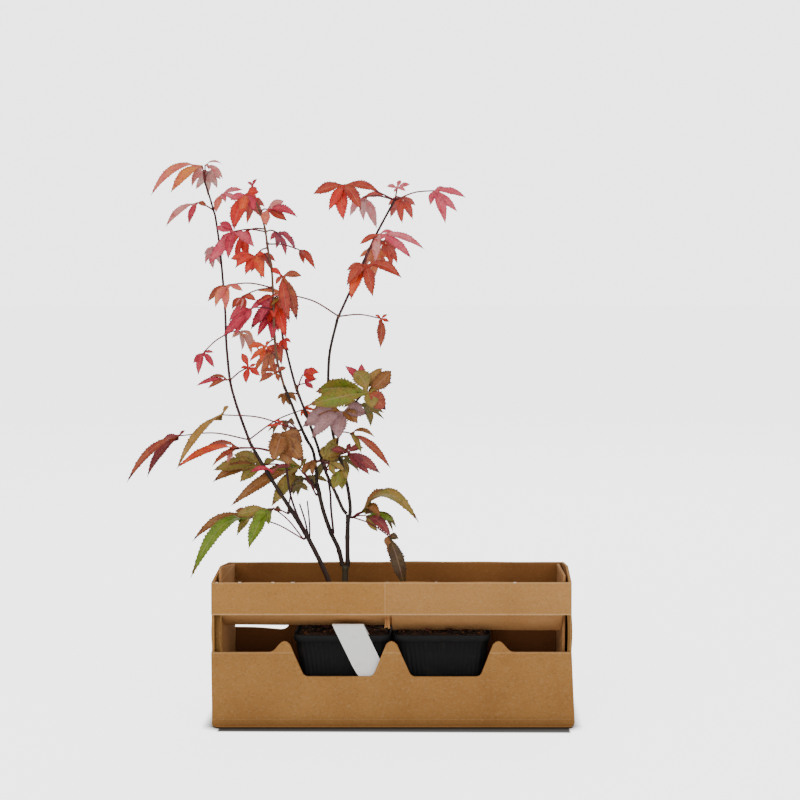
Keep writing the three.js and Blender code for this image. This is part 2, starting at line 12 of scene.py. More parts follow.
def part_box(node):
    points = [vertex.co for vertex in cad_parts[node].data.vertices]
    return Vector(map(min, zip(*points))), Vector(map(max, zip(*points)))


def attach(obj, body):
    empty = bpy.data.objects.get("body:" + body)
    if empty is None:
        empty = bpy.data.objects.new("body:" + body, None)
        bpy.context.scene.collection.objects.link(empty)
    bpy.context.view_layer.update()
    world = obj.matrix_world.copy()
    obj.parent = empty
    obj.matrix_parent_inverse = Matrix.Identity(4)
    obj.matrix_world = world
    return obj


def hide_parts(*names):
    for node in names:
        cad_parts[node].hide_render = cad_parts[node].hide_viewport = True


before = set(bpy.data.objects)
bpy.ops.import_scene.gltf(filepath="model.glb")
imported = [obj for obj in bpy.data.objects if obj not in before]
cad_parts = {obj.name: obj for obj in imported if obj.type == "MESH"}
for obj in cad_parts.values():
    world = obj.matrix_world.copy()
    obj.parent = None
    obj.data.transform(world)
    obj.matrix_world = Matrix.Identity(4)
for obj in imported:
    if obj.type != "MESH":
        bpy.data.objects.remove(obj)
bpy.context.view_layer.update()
mm = 0.001
print("frame loaded")


# Camera and studio

view = {"place": (62, -1389, 403.7), "pitch": 0.68, "lens": 66, "shiftX": -0.074, "shiftY": -0.12}
studio = {
    "floorRadius": 30,
    "sky": 0.5,
    "backdrop": 3.4,
    # on the floor: the reach of painted soft shade, and a painted shadow strip before the wall's foot with
    # its edges
    "contactShade": {
        "reach": 0.012, "depth": 4, "left": -159, "right": 164, "front": -64, "back": -40,
        "fade": 2, "frontFade": 3.5, "slant": 0.012, "share": 0.96,
    },
    "floorGain": 0.55,
    "softboxes": [  # place, size and power in watts
        ((-1.3, -2.0, 1.9), 1.6, 28),
        ((1.7, -1.7, 1.2), 1.4, 16),
        ((0.1, -2.4, 0.3), 1.1, 13),
        ((0.3, 1.6, 1.9), 1.6, 18),
    ],
    "aim": (-0.04, 0, 0.22),
}


def makeCamera():
    data = bpy.data.cameras.new("camera")
    data.sensor_width = 36
    data.lens = view["lens"]
    data.shift_x = view["shiftX"]
    data.shift_y = view["shiftY"]
    camera = bpy.data.objects.new("camera", data)
    bpy.context.scene.collection.objects.link(camera)
    camera.location = Vector(view["place"]) * mm
    camera.rotation_euler = (math.radians(90 - view["pitch"]), 0, 0)
    bpy.context.scene.camera = camera


def makeStudio():
    world = bpy.data.worlds.new("white studio")
    world.use_nodes = True
    tree = world.node_tree
    rays = tree.nodes.new("ShaderNodeLightPath")
    glow = tree.nodes.new("ShaderNodeMapRange")  # the backdrop looks brighter than the light it gives
    glow.inputs["To Min"].default_value = studio["sky"]
    glow.inputs["To Max"].default_value = studio["backdrop"]
    tree.links.new(rays.outputs["Is Camera Ray"], glow.inputs["Value"])
    tree.nodes["Background"].inputs["Color"].default_value = (1, 1, 1, 1)
    tree.links.new(glow.outputs["Result"], tree.nodes["Background"].inputs["Strength"])
    bpy.context.scene.world = world
    for place, size, power in studio["softboxes"]:
        light = bpy.data.lights.new("softbox", "AREA")
        light.shape = "SQUARE"
        light.size = size
        light.energy = power
        lamp = bpy.data.objects.new("softbox", light)
        bpy.context.scene.collection.objects.link(lamp)
        lamp.location = place
        lamp.rotation_euler = (Vector(studio["aim"]) - Vector(place)).to_track_quat("-Z", "Y").to_euler()


# Shader maths: a socket that can be added, multiplied and compared

class Wire:
    def __init__(self, finish, socket):
        self.finish = finish
        self.socket = socket

    def maths(self, operation, first, second=0.0):
        return self.finish.node("ShaderNodeMath", {"operation": operation}, {0: first, 1: second})

    def __add__(self, other):
        return self.maths("ADD", self, other)

    __radd__ = __add__

    def __mul__(self, other):
        return self.maths("MULTIPLY", self, other)

    __rmul__ = __mul__

    def __sub__(self, other):
        return self.maths("SUBTRACT", self, other)

    def __rsub__(self, other):
        return self.maths("SUBTRACT", other, self)

    def __truediv__(self, other):
        return self.maths("DIVIDE", self, other)

    def __pow__(self, other):
        return self.maths("POWER", self, other)

    def __abs__(self):
        return self.maths("ABSOLUTE", self)

    def clamped(self):
        return self.maths("MINIMUM", self.maths("MAXIMUM", self, 0.0), 1.0)

    def wave(self):
        return self.maths("SINE", self)


class Finish:
    # a material, its shader and the nodes that feed it
    def __init__(self, name, roughness, specular=0.3):
        self.material = bpy.data.materials.new(name)
        self.material.use_nodes = True
        self.tree = self.material.node_tree
        self.shader = self.tree.nodes["Principled BSDF"]
        self.shader.inputs["Roughness"].default_value = roughness
        self.shader.inputs["Specular IOR Level"].default_value = specular

    def node(self, kind, settings, sockets, output=0):
        made = self.tree.nodes.new(kind)
        for key, value in settings.items():
            setattr(made, key, value)
        for key, value in sockets.items():
            if isinstance(value, Wire):
                self.tree.links.new(value.socket, made.inputs[key])
            else:
                made.inputs[key].default_value = value
        return Wire(self, made.outputs[output])

    def place(self, axis=None, stretch=(1, 1, 1)):
        whole = self.node("ShaderNodeTexCoord", {}, {}, "Object")
        if axis:
            return self.node("ShaderNodeSeparateXYZ", {}, {0: whole}, axis)
        return self.node("ShaderNodeMapping", {}, {"Vector": whole, "Scale": stretch})

    def grain(self, scale, detail=3.0, stretch=(1, 1, 1)):
        sockets = {"Vector": self.place(stretch=stretch), "Scale": scale, "Detail": detail}
        return self.node("ShaderNodeTexNoise", {}, sockets)

    def cells(self, scale, stretch=(1, 1, 1)):
        sockets = {"Vector": self.place(stretch=stretch), "Scale": scale}
        return self.node("ShaderNodeTexVoronoi", {}, sockets)

    def blend(self, first, second, share):
        return self.node("ShaderNodeMix", {"data_type": "RGBA"}, {0: share, 6: first, 7: second}, 2)

    def feed(self, name, wire):
        self.tree.links.new(wire.socket, self.shader.inputs[name])

    def bump(self, height, distance, strength=1.0):
        sockets = {"Height": height, "Distance": distance * mm, "Strength": strength}
        self.feed("Normal", self.node("ShaderNodeBump", {}, sockets))


def tone(code, gain=1.0):
    # a colour as it is on the screen, in the shader's own light
    channels = [int(code[k:k + 2], 16) / 255 for k in (0, 2, 4)]
    linear = [gain * (c / 12.92 if c <= 0.04045 else ((c + 0.055) / 1.055) ** 2.4) for c in channels]
    return (*linear, 1.0)


def spots(grain, above, soft=0.04):
    # one where a noise rises above a level, nought elsewhere
    return ((grain - above) / soft).clamped()


# Finishes of the planter, pot and soil

board = {
    "outside": ("aa7a42", "9c6c38"),
    "rail": ("b58146", "a9773d"),
    # the front flaps: the rail's outer kraft painted lighter, standing for light from below
    "flap": ("c68f58", "b47e48"),
    "corner": ("86602f", "745026"),
    "lining": ("b48150", "a27040"),
    "inside": ("895a2d", "7a4d25"),
    "flecks": ("5c3a20", "e0c49c"),
    "foldLine": "d8b080",
    # darker bands: they begin below a height, are full a stretch further down, and have a share
    # painted shade: the planter's inner faces darken towards the bottom, as shade inside it would
    "deepShade": {"tone": "573017", "below": 112, "over": 34, "share": 0.75},
    "foot": {"tone": "7e5227", "below": 11, "over": 5, "share": 0.32},
    # painted shadow: near-black along the wall's lowest millimetre
    "footShadowLine": {"tone": "1c120b", "below": 0.9, "over": 0.5, "share": 0.85},
    # dark specks: scale and detail of their noise, the level they show above, softness and share
    "specks": [(600, 3, 0.54, 0.2, 0.3), (760, 2, 0.7, 0.05, 0.4)],
    "fibreShare": 0.14,
    # how strongly fibres and specks show on the board that carries the painted shade
    "deepShadeFibres": 0.4,
    "crease": {"x": -5.8, "half": 0.7, "share": 0.28, "paleOver": 3, "paleShare": 0.05},
}
folds = {  # pale fold lines: their height, half their width and how pale they are
    "outside": [(68.6, 0.9, 0.35), (7.5, 0.7, 0.16)],
    "rail": [(103.8, 0.9, 0.9), (132.6, 0.7, 0.5)],
    "flap": [(102.2, 0.8, 0.5)],
    "inside": [(132.6, 0.8, 0.4)],
    "lining": [(132, 1.2, 0.4)],
}


def kraftLook(name, kind, foldLines=(), bands=(), isCreased=False):
    finish = Finish(name, 0.86, 0.2)
    main, other = (tone(code) for code in board[kind])
    fleck, pale = (tone(code) for code in board["flecks"])
    clouds = finish.grain(16, 6)
    fibres = finish.grain(420, 5, (1, 1, 1.6))
    height = finish.place("Z")
    strength = board["deepShadeFibres"] if "deepShade" in bands else 1
    colour = finish.blend(main, other, ((clouds - 0.35) * 2.6).clamped())
    colour = finish.blend(colour, pale, spots(fibres, 0.5, 0.3) * board["fibreShare"] * strength)
    for scale, detail, above, soft, share in board["specks"]:
        specks = spots(finish.grain(scale, detail), above, soft)
        colour = finish.blend(colour, fleck, specks * share * strength)
    if isCreased:
        crease = board["crease"]
        past = finish.place("X") - crease["x"] * mm
        paler = (past / (crease["paleOver"] * mm)).clamped()
        colour = finish.blend(colour, pale, paler * crease["paleShare"])
        line = (1 - abs(past) / (crease["half"] * mm)).clamped()
        colour = finish.blend(colour, pale, line * crease["share"])
    for band in (board[key] for key in bands):
        reach = ((band["below"] * mm - height) / (band["over"] * mm)).clamped()
        colour = finish.blend(colour, tone(band["tone"]), reach * band["share"])
    for foldHeight, half, paleness in foldLines:
        line = (1 - abs(height - foldHeight * mm) / (half * mm)).clamped()
        colour = finish.blend(colour, tone(board["foldLine"]), line * (0.4 + fibres) * paleness)
    finish.feed("Base Color", colour)
    finish.feed("Roughness", 0.8 + fibres * 0.15)
    finish.bump(fibres + finish.grain(900, 2) * 0.5, 0.08)
    return finish.material


def potLook():
    finish = Finish("black pot plastic", 0.5, 0.22)
    dust = finish.grain(90, 4)
    fine = finish.grain(1400, 2)
    finish.feed("Base Color", finish.blend(tone("0d0d0e"), tone("28241f"), spots(dust, 0.56, 0.2) * 0.4))
    finish.feed("Roughness", 0.5 + dust * 0.25)
    finish.bump(fine, 0.03)
    return finish.material


def soilLook(name, main, other):
    finish = Finish(name, 0.95, 0.2)
    crumbs = finish.cells(420)
    clumps = finish.grain(130, 5)
    finish.feed("Base Color", finish.blend(tone(main), tone(other), (clumps * 1.4 - 0.2).clamped()))
    finish.bump(crumbs + clumps, 0.8)
    return finish.material


def labelLook():
    finish = Finish("white label plastic", 0.42, 0.4)
    dust = finish.grain(120, 4)
    finish.feed("Base Color", finish.blend(tone("fafaf6"), tone("e4e1d8"), spots(dust, 0.55, 0.2) * 0.5))
    finish.feed("Roughness", 0.36 + dust * 0.15)
    finish.bump(finish.grain(700, 2), 0.02)
    return finish.material


def barkLook(name, dark, light, greenAt=None):
    finish = Finish(name, 0.5, 0.3)
    ridges = finish.grain(420, 4, (1, 1, 0.22))
    patches = finish.grain(60, 3, (1, 1, 0.4))
    pores = finish.cells(330, (1, 1, 0.5))
    colour = finish.blend(tone(dark), tone(light), ((patches - 0.38) * 2.6).clamped())
    colour = finish.blend(colour, tone("8a7460"), spots(1 - pores, 0.88, 0.06) * 0.12)
    if greenAt:
        share = ((greenAt * mm - finish.place("Z")) / (22 * mm)).clamped()
        colour = finish.blend(colour, tone("46592c"), share * (0.6 + patches * 0.5))
    finish.feed("Base Color", colour)
    finish.feed("Roughness", 0.42 + ridges * 0.25)
    finish.bump(ridges + pores * 0.3, 0.1)
    return finish.material


# Leaf tints: upper side, its blush, the tips of the lobes, under side
tints = {
    "coral": ("c65a50", "d27a4a", "9a2a2a", "b8807a"),
    "dusk": ("c48078", "c05a58", "a83038", "c09890"),
    "amber": ("d07a34", "c65a3a", "8e3026", "c08a60"),
    "pink": ("cc6a72", "c84a54", "9a3040", "c4908e"),
    "rose": ("c03a50", "c85a62", "84203a", "b07a80"),
    "scarlet": ("b81c18", "c8381c", "7a1416", "a04a44"),
    "flame": ("c0321a", "cc5a22", "82201a", "b06a50"),
    "rust": ("962c20", "ae4428", "58181a", "985c50"),
    "crimson": ("a61c36", "bc3646", "5c1220", "9c5060"),
    "wine": ("722a30", "8a3a34", "401418", "7e4a4c"),
    "brick": ("863222", "984a22", "481814", "845040"),
    "bronze": ("78461f", "8a5c2a", "42200f", "7c5a3c"),
    "gold": ("8c6428", "9e7836", "5a3418", "907040"),
    "olive": ("766a28", "8c6c30", "5c3a1c", "6c6838"),
    "green": ("58700e", "6c7e1c", "5a4a16", "7c8a40"),
    "moss": ("74641c", "587014", "6a4420", "766c3c"),
    "umber": ("402a12", "52401e", "2a140b", "4c3a22"),
    "mauve": ("8e6664", "9c7478", "5e3838", "8c7068"),
}


def leafLook(name, main, other, margin, roughness):
    finish = Finish(name, roughness, 0.35)
    clouds = finish.grain(120, 4)
    mottle = finish.grain(420, 3)
    across = finish.node("ShaderNodeUVMap", {"uv_map": "lobe"}, {})
    side = finish.node("ShaderNodeSeparateXYZ", {}, {0: across}, "X")
    along = finish.node("ShaderNodeSeparateXYZ", {}, {0: across}, "Y")
    veins = ((along * 62 - abs(side) * 9).wave() * 0.5 + 0.5) ** 3
    colour = finish.blend(main, other, ((clouds - 0.4) * 4).clamped() * 0.9)
    colour = finish.blend(colour, margin, ((abs(side) - 0.55) * 2.2).clamped() * 0.5)
    colour = finish.blend(colour, margin, spots(clouds, 0.6, 0.08) * 0.3)
    colour = finish.blend(colour, tone("2c1414"), spots(mottle, 0.54, 0.12) * 0.34)
    colour = finish.blend(colour, tone("c89a84"), (1 - abs(side) * 9).clamped() * 0.3)
    finish.feed("Base Color", colour)
    finish.feed("Roughness", roughness - 0.08 + mottle * 0.16)
    finish.bump(veins * 0.6 + mottle * 0.4, 0.25)
    return finish.material


leafLooks = {}


def leafMaterials(tint):
    # upper side, tips and under side, made once for each tint
    if tint not in leafLooks:
        upper, blush, tip, under = (tone(code, leaf["gain"]) for code in tints[tint])
        leafLooks[tint] = [
            leafLook(tint + " leaf", upper, blush, tip, 0.5),
            leafLook(tint + " leaf tip", tip, upper, tip, 0.55),
            leafLook(tint + " leaf underside", under, blush, under, 0.62),
        ]
    return leafLooks[tint]


# Pieces

def addPiece(name, mesh, materials, slot, *nodes):
    for material in materials:
        mesh.materials.append(material)
    piece = bpy.data.objects.new(name, mesh)
    bpy.context.scene.collection.objects.link(piece)
    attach(piece, "root")
    if nodes:
        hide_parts(*nodes)
    return piece


def finishShape(name, shape, smoothAngle=40):
    # a bmesh as a mesh, smooth except over its sharp edges
    for face in shape.faces:
        face.smooth = True
    for edge in shape.edges:
        edge.smooth = edge.calc_face_angle(0.0) < math.radians(smoothAngle)
    mesh = bpy.data.meshes.new(name)
    shape.to_mesh(mesh)
    shape.free()
    return mesh


# Board pieces: each keeps its place and gets soft edges and the bend that folded board has

boardSettings = {
    "edge": 0.55,
    "segments": 2,
    "cut": 5,
    "bow": 0.9,
    "flare": (1.9, 1.1),
    "footCorner": 4.2,
    "endCorner": 2.2,
    "railCut": 2.5,
    "crease": {"x": board["crease"]["x"], "half": 0.9, "depth": 0.35},
    "nicks": [(-138.7, 1.6, 0.9), (-108.5, 1.2, 0.6), (-90.2, 1.4, 0.8), (113.3, 1.3, 0.7), (41, 1, 0.5)],
    "dip": {"x": -109, "half": 20, "depth": 2.2, "from": 58},
    "steady": {"rail": 150, "top": 140, "wall": 150, "end": 40},  # how far from its middle a board bends
}
boardWaves = {  # the board's unevenness: each wave's rate for a millimetre, its start and its size
    "rail": [(0.021, 0.6, 0.5), (0.047, 0, 0.25)],
    "top": [(0.013, 1, 0.45), (0.09, 0, 0.2)],
    "flap": [(0.03, 0, 0.8), (0.083, 1, 0.4)],
    "wall": [(0.026, 0.4, 0.5)],
    "end": [(0.035, 0, 0.7)],
}


def cadCopy(node):
    shape = bmesh.new()
    shape.from_mesh(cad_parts[node].data)
    bmesh.ops.remove_doubles(shape, verts=shape.verts, dist=1e-6)
    bmesh.ops.dissolve_limit(shape, angle_limit=math.radians(1), verts=shape.verts, edges=shape.edges)
    return shape


def softenEdges(shape, width, segments):
    sharp = [edge for edge in shape.edges if edge.calc_face_angle(0.0) > math.radians(30)]
    bmesh.ops.bevel(shape, geom=sharp, offset=width * mm, offset_type="OFFSET", affect="EDGES",
                    segments=segments, profile=0.5, material=-1, clamp_overlap=True)


def cutAcross(shape, axis, step):
    # cuts that give a long flat board the points that its bend needs
    low = min(vert.co[axis] for vert in shape.verts)
    high = max(vert.co[axis] for vert in shape.verts)
    count = max(int((high - low) / (step * mm)), 1)
    normal = Vector((0, 0, 0))
    normal[axis] = 1
    for k in range(1, count):
        place = Vector((0, 0, 0))
        place[axis] = low + (high - low) * k / count
        geom = shape.verts[:] + shape.edges[:] + shape.faces[:]
        bmesh.ops.bisect_plane(shape, geom=geom, dist=1e-7, plane_co=place, plane_no=normal)


def hump(x, middle, half):
    return math.exp(-((x - middle) / half) ** 2)


def uneven(kind, x):
    return sum(size * math.sin(x * rate + start) for rate, start, size in boardWaves[kind])


def bendRail(vert, side):
    # the long rails bow out a little, and the front one has a crease and nicks
    x = vert.co.x / mm
    steady = boardSettings["steady"]
    low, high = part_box("front_rail")
    share = (vert.co.z - low.z) / (high.z - low.z)
    vert.co.y -= side * boardSettings["bow"] * share * uneven("rail", x) * hump(x, 0, steady["rail"]) * mm
    if share > 0.8:
        vert.co.z += uneven("top", x) * hump(x, 0, steady["top"]) * mm
    if side > 0:
        crease = boardSettings["crease"]
        vert.co.y += crease["depth"] * hump(x, crease["x"], crease["half"]) * mm
        if share > 0.9:
            for place, half, depth in boardSettings["nicks"]:
                vert.co.z -= depth * hump(x, place, half) * mm


def bendFlap(vert, side):
    x = vert.co.x / mm
    low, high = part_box("back_flap_left" if side < 0 else "front_flap_left")
    share = (high.z - vert.co.z) / (high.z - low.z)
    vert.co.y += side * share * uneven("flap", x) * mm


def bendWall(vert, side):
    # the wall bows a little, the front one spreads at its foot and the back one has a worn dip
    x, z = vert.co.x / mm, vert.co.z / mm
    reach = hump(x, 0, boardSettings["steady"]["wall"])
    vert.co.y -= side * uneven("wall", x) * min(z / 60, 1) * reach * mm
    spread, growth = boardSettings["flare"]
    if side > 0:
        vert.co.x += (spread + growth * x / 165) * max(1 - z / 69, 0) * mm
    dip = boardSettings["dip"]
    if side < 0 and z > dip["from"]:
        vert.co.z -= dip["depth"] * hump(x, dip["x"], dip["half"]) * mm


def bendEnd(vert, side):
    y, z = vert.co.y / mm, vert.co.z / mm
    vert.co.x += side * uneven("end", z) * hump(y, 0, boardSettings["steady"]["end"]) * mm


def cutFootCorners(shape, acrossX):
    # the folded foot: its two lower corners are cut off
    low = min(vert.co.z for vert in shape.verts)
    reach = max(abs(vert.co.x) for vert in shape.verts)
    corners = [edge for edge in shape.edges
               if all(vert.co.z - low < 1e-5 and reach - abs(vert.co.x) < 1e-5 for vert in edge.verts)]
    offset = boardSettings["footCorner"] if acrossX else boardSettings["endCorner"]
    bmesh.ops.bevel(shape, geom=corners, offset=offset * mm, affect="EDGES", segments=2, profile=0.5,
                    material=-1)


def boardPiece(node, materials, slot, cutAxis, step, bend, side, inward=None):
    # inward is the axis and sense of the board's inner face, which gets the second material
    shape = cadCopy(node)
    if node.endswith("_wall") or node.endswith("_end"):
        cutFootCorners(shape, node.endswith("_wall"))
    softenEdges(shape, boardSettings["edge"], boardSettings["segments"])
    if bend:
        cutAcross(shape, cutAxis, step)
    shape.normal_update()
    for face in shape.faces:
        isInner = inward and face.normal[inward[0]] * inward[1] > 0.5
        face.material_index = 1 if isInner else 0
    if bend:
        for vert in shape.verts:
            bend(vert, side)
    addPiece(node + "_board", finishShape(node, shape), materials, slot, node)


def makePlanter():
    # the outer wall: darker towards its foot, with a painted shadow line along its lowest millimetre
    outside = kraftLook("kraft wall", "outside", folds["outside"], ("foot", "footShadowLine"))
    rail = kraftLook("kraft rail", "rail", folds["rail"], isCreased=True)
    # the front flaps' tones are painted lighter, standing for light from below
    flap = kraftLook("kraft flap painted lighter", "flap", folds["flap"])
    # the inner faces carry painted shade, darker towards the planter's floor
    inside = kraftLook("kraft inside", "inside", folds["inside"], ("deepShade",))
    lining = kraftLook("kraft lining", "lining", folds["lining"])
    step = boardSettings["cut"]
    for name, side in (("front", 1), ("back", -1)):
        inward = (1, side)
        boardPiece(name + "_wall", [outside, inside], "kraft", 0, step, bendWall, side, inward)
        railStep = boardSettings["railCut"] if side > 0 else step
        boardPiece(name + "_rail", [rail, inside], "kraft", 0, railStep, bendRail, side, inward)
        for end in ("left", "right"):
            boardPiece(f"{name}_flap_{end}", [flap if side > 0 else inside], "kraft_inside", 0, step,
                       bendFlap, side)
    for name, side in (("left", 1), ("right", -1)):
        boardPiece(name + "_end", [rail, inside], "kraft", 2, step, bendEnd, side, (0, side))
        boardPiece(name + "_liner", [lining], "kraft_inside", 2, step, bendEnd, side)
    boardPiece("planter_floor", [inside], "kraft_inside", 0, step, None, 0)
    cornerLook = kraftLook("kraft corner", "corner")
    makeCorners(cornerLook)
    # the curl takes the flaps' painted lighter tones
    makeCurl(kraftLook("kraft curl", "flap"))
    makeBurrs()
    print("planter made")


def thicken(shape, thick):
    # a bent sheet becomes a board of this thickness
    bmesh.ops.recalc_face_normals(shape, faces=shape.faces)
    bmesh.ops.solidify(shape, geom=shape.faces[:], thickness=thick * mm)
    bmesh.ops.recalc_face_normals(shape, faces=shape.faces)


cornerBoard = {
    "low": 68.5, "high": 104, "thick": 1.6, "steps": 12, "end": 165, "back": -44, "forward": 6.4,
    "sides": [(-1, 8.5, 3.2), (1, 4.2, 1.6)],  # which end, how far it turns on to the front, its bulge
}


def makeCorners(outer):
    # between wall and rail the board bulges round each front corner
    for sign, turnIn, bulge in cornerBoard["sides"]:
        shape = bmesh.new()
        low, high, steps = cornerBoard["low"], cornerBoard["high"], cornerBoard["steps"]
        bmesh.ops.create_grid(shape, x_segments=8, y_segments=steps, size=0.5)
        for vert in shape.verts:
            across, up = vert.co.x + 0.5, vert.co.y + 0.5
            swell = math.sin(math.pi * up)
            turn = math.radians(90 * across)
            x = cornerBoard["end"] - turnIn * math.sin(turn) + 0.35 * bulge * swell
            y = cornerBoard["back"] - cornerBoard["forward"] * (1 - math.cos(turn))
            y -= 0.4 * bulge * swell * math.sin(turn)
            vert.co = Vector((sign * x, y, low + (high - low) * up)) * mm
        thicken(shape, cornerBoard["thick"])
        side = "left" if sign < 0 else "right"
        addPiece(side + "_corner_board", finishShape("corner", shape, 50), [outer], "kraft")


curl = {
    "x": -4, "y": -42.5, "low": 90, "high": 104, "radius": 2.2, "thick": 0.5,
    "from": -60, "turns": 250, "lean": 6,
}


def makeCurl(look):
    # the split between the front flaps ends in a small curl of board
    shape = bmesh.new()
    bmesh.ops.create_grid(shape, x_segments=9, y_segments=5, size=0.5)
    for vert in shape.verts:
        turn = math.radians(curl["turns"] * (vert.co.x + 0.5) + curl["from"])
        up = vert.co.y + 0.5
        radius = curl["radius"] * (1.2 - 0.5 * up)
        x = curl["x"] + radius * math.cos(turn)
        y = curl["y"] - curl["lean"] / 2 + curl["lean"] * up + radius * math.sin(turn)
        vert.co = Vector((x, y, curl["high"] + (curl["low"] - curl["high"]) * (1 - up))) * mm
    thicken(shape, curl["thick"])
    addPiece("board_curl", finishShape("board_curl", shape, 50), [look], "kraft_inside")


burrs = {
    "places": [
        (-160, 1.3), (-138.7, 1.8), (-108.5, 1.8), (-90.2, 2.2), (-4, 1.5), (41, 1.2), (113, 1.6),
    ],
    "deep": 1.2, "high": 1.1, "y": -50, "at": 132.9,
}


def makeBurrs():
    # pale torn fibres along the rail's top edge
    sheaf = Sheaf()
    rng = random.Random(7)
    for x, half in burrs["places"]:
        middle = Vector((x, burrs["y"] + rng.uniform(-0.4, 0.4), burrs["at"]))
        size = Vector((half * 2, burrs["deep"], burrs["high"]))
        addBlock(sheaf, middle, size, Matrix.Identity(3), 0, rng)
    finish = Finish("torn paper", 0.95, 0.1)
    finish.feed("Base Color", finish.blend(tone("efe2cc"), tone("d2b48a"), finish.grain(900, 3)))
    addPiece("torn_edge", sheaf.mesh("torn_edge"), [finish.material], "kraft")


# Pot, soil and label

pot = {
    "middles": [-46, 46], "corner": 9, "wall": 1.5, "floor": 2, "bottom": 2.9,
    "base": 34, "lip": 43.4, "rim": 45, "lipAt": 77.2, "top": 83.2,
    "ribs": 76, "ribDepth": 0.75, "perRib": 4, "soilTop": 79, "waist": 40,
}


def squarePlace(share, half, corner):
    # a place on a square ring with rounded corners, at a share of the way round
    straight = 2 * (half - corner)
    arc = math.pi * corner / 2
    side, rest = divmod(share * 4, 1)
    run = rest * (straight + arc)
    turn = math.radians(90) * side
    if run < straight:
        local = Vector((half, run - straight / 2, 0))
    else:
        bend = (run - straight) / corner
        local = Vector((half - corner, half - corner, 0))
        local += corner * Vector((math.cos(bend), math.sin(bend), 0))
    return Matrix.Rotation(turn, 3, "Z") @ local


def nextRing(shape, ring):
    # extrudes a ring of points, and gives the new ones in the same order
    edges = {e for vert in ring for e in vert.link_edges if e.other_vert(vert) in ring}
    made = bmesh.ops.extrude_edge_only(shape, edges=list(edges))["geom"]
    fresh = {item for item in made if isinstance(item, bmesh.types.BMVert)}
    return [next(e.other_vert(v) for e in v.link_edges if e.other_vert(v) in fresh) for v in ring]


def potRing(verts, middle, half, height, ribbed):
    count = len(verts)
    for k, vert in enumerate(verts):
        local = squarePlace(k / count, half, pot["corner"])
        if ribbed:
            wave = math.sin(2 * math.pi * k / pot["perRib"])
            local -= local.normalized() * pot["ribDepth"] * (0.5 - 0.5 * wave)
        vert.co = Vector((middle + local.x, local.y, height)) * mm


def potProfile():
    # the rings from the foot up, over the rim and down inside: half width, height, and with ribs or not
    bottom, lipAt, rim, top, wall = (pot[key] for key in ("bottom", "lipAt", "rim", "top", "wall"))

    def halfAt(height):
        return pot["base"] + (pot["lip"] - pot["base"]) * (height - bottom) / (lipAt - bottom)

    foot = [(halfAt(bottom) - 0.8, bottom, False), (halfAt(bottom + 0.8), bottom + 0.8, True)]
    levels = [bottom + (lipAt - bottom) * k / 6 for k in range(1, 6)] + [lipAt - 0.6]
    side = [(halfAt(level), level, True) for level in levels] + [(halfAt(lipAt), lipAt, False)]
    over = [
        (rim - 0.3, lipAt), (rim, lipAt + 0.4), (rim, top - 1.2), (rim - 0.35, top - 0.35),
        (rim - 0.7, top), (rim - wall + 0.2, top), (rim - wall, top - 0.3),
    ]
    inner = [(halfAt(lipAt) - wall, lipAt), (halfAt(pot["waist"]) - wall, pot["waist"])]
    inner.append((halfAt(bottom) - wall, bottom + pot["floor"]))
    return foot + side + [(half, height, False) for half, height in over + inner]


def makePot(prefix, middle, plastic):
    shape = bmesh.new()
    count = pot["ribs"] * pot["perRib"]
    ring = bmesh.ops.create_circle(shape, cap_ends=True, radius=1, segments=count)["verts"]
    rows = potProfile()
    potRing(ring, middle, *rows[0])
    for row in rows[1:]:
        ring = nextRing(shape, ring)
        potRing(ring, middle, *row)
    bmesh.ops.contextual_create(shape, geom=ring)
    bmesh.ops.recalc_face_normals(shape, faces=shape.faces)
    addPiece(prefix + "ribbed_pot", finishShape("ribbed_pot", shape, 50), [plastic], "pot", prefix + "pot")


soil = {
    "inset": 2.1, "step": 1.4, "rough": 1.1, "heap": 5, "heapEdge": 7, "square": 10, "skirt": 14,
    "skirtShare": 0.92, "chips": 520, "long": (1.4, 5.2), "wide": (0.9, 2.8), "high": (0.5, 1.6),
    "scraps": 26, "scrap": (6, 13),
}


def heapAt(x, y):
    # the compost's height: highest just inside the pot's edge, so that chips show over the rim
    edge = pot["lip"] - max(abs(x), abs(y))
    rise = soil["heap"] * (1 - math.exp(-edge / 2.4)) * (0.45 + 0.55 * hump(edge, soil["heapEdge"], 6))
    lump = noise.noise(Vector((x, y, 3)) * 0.16) * 1.6 + noise.noise(Vector((x, y, 0)) * 0.6) * 0.7
    return pot["soilTop"] - 0.4 + rise + lump * soil["rough"] * min(edge / 6, 1)


def makeSoil(prefix, middle, material):
    low = (pot["soilTop"] - soil["skirt"]) * mm
    half = pot["lip"] - soil["inset"]
    power = soil["square"]
    shape = bmesh.new()
    segments = int(2 * half / soil["step"])
    bmesh.ops.create_grid(shape, x_segments=segments, y_segments=segments, size=1)
    for vert in shape.verts:
        square = max(abs(vert.co.x), abs(vert.co.y), 1e-6)
        angle = math.atan2(vert.co.y, vert.co.x)
        rim = half / (abs(math.cos(angle)) ** power + abs(math.sin(angle)) ** power) ** (1 / power)
        place = Vector((math.cos(angle) * rim * square, math.sin(angle) * rim * square, 0))
        vert.co = Vector((middle + place.x, place.y, heapAt(place.x, place.y))) * mm
    rimEdges = [edge for edge in shape.edges if edge.is_boundary]
    skirt = bmesh.ops.extrude_edge_only(shape, edges=rimEdges)["geom"]
    for vert in (item for item in skirt if isinstance(item, bmesh.types.BMVert)):
        across = (vert.co.x - middle * mm) * soil["skirtShare"]
        vert.co = Vector((middle * mm + across, vert.co.y * soil["skirtShare"], low))
    lowEdges = [item for item in skirt if isinstance(item, bmesh.types.BMEdge)]
    bmesh.ops.contextual_create(shape, geom=lowEdges)
    bmesh.ops.recalc_face_normals(shape, faces=shape.faces)
    addPiece(prefix + "compost", finishShape("compost", shape, 80), [material], "soil", prefix + "soil")


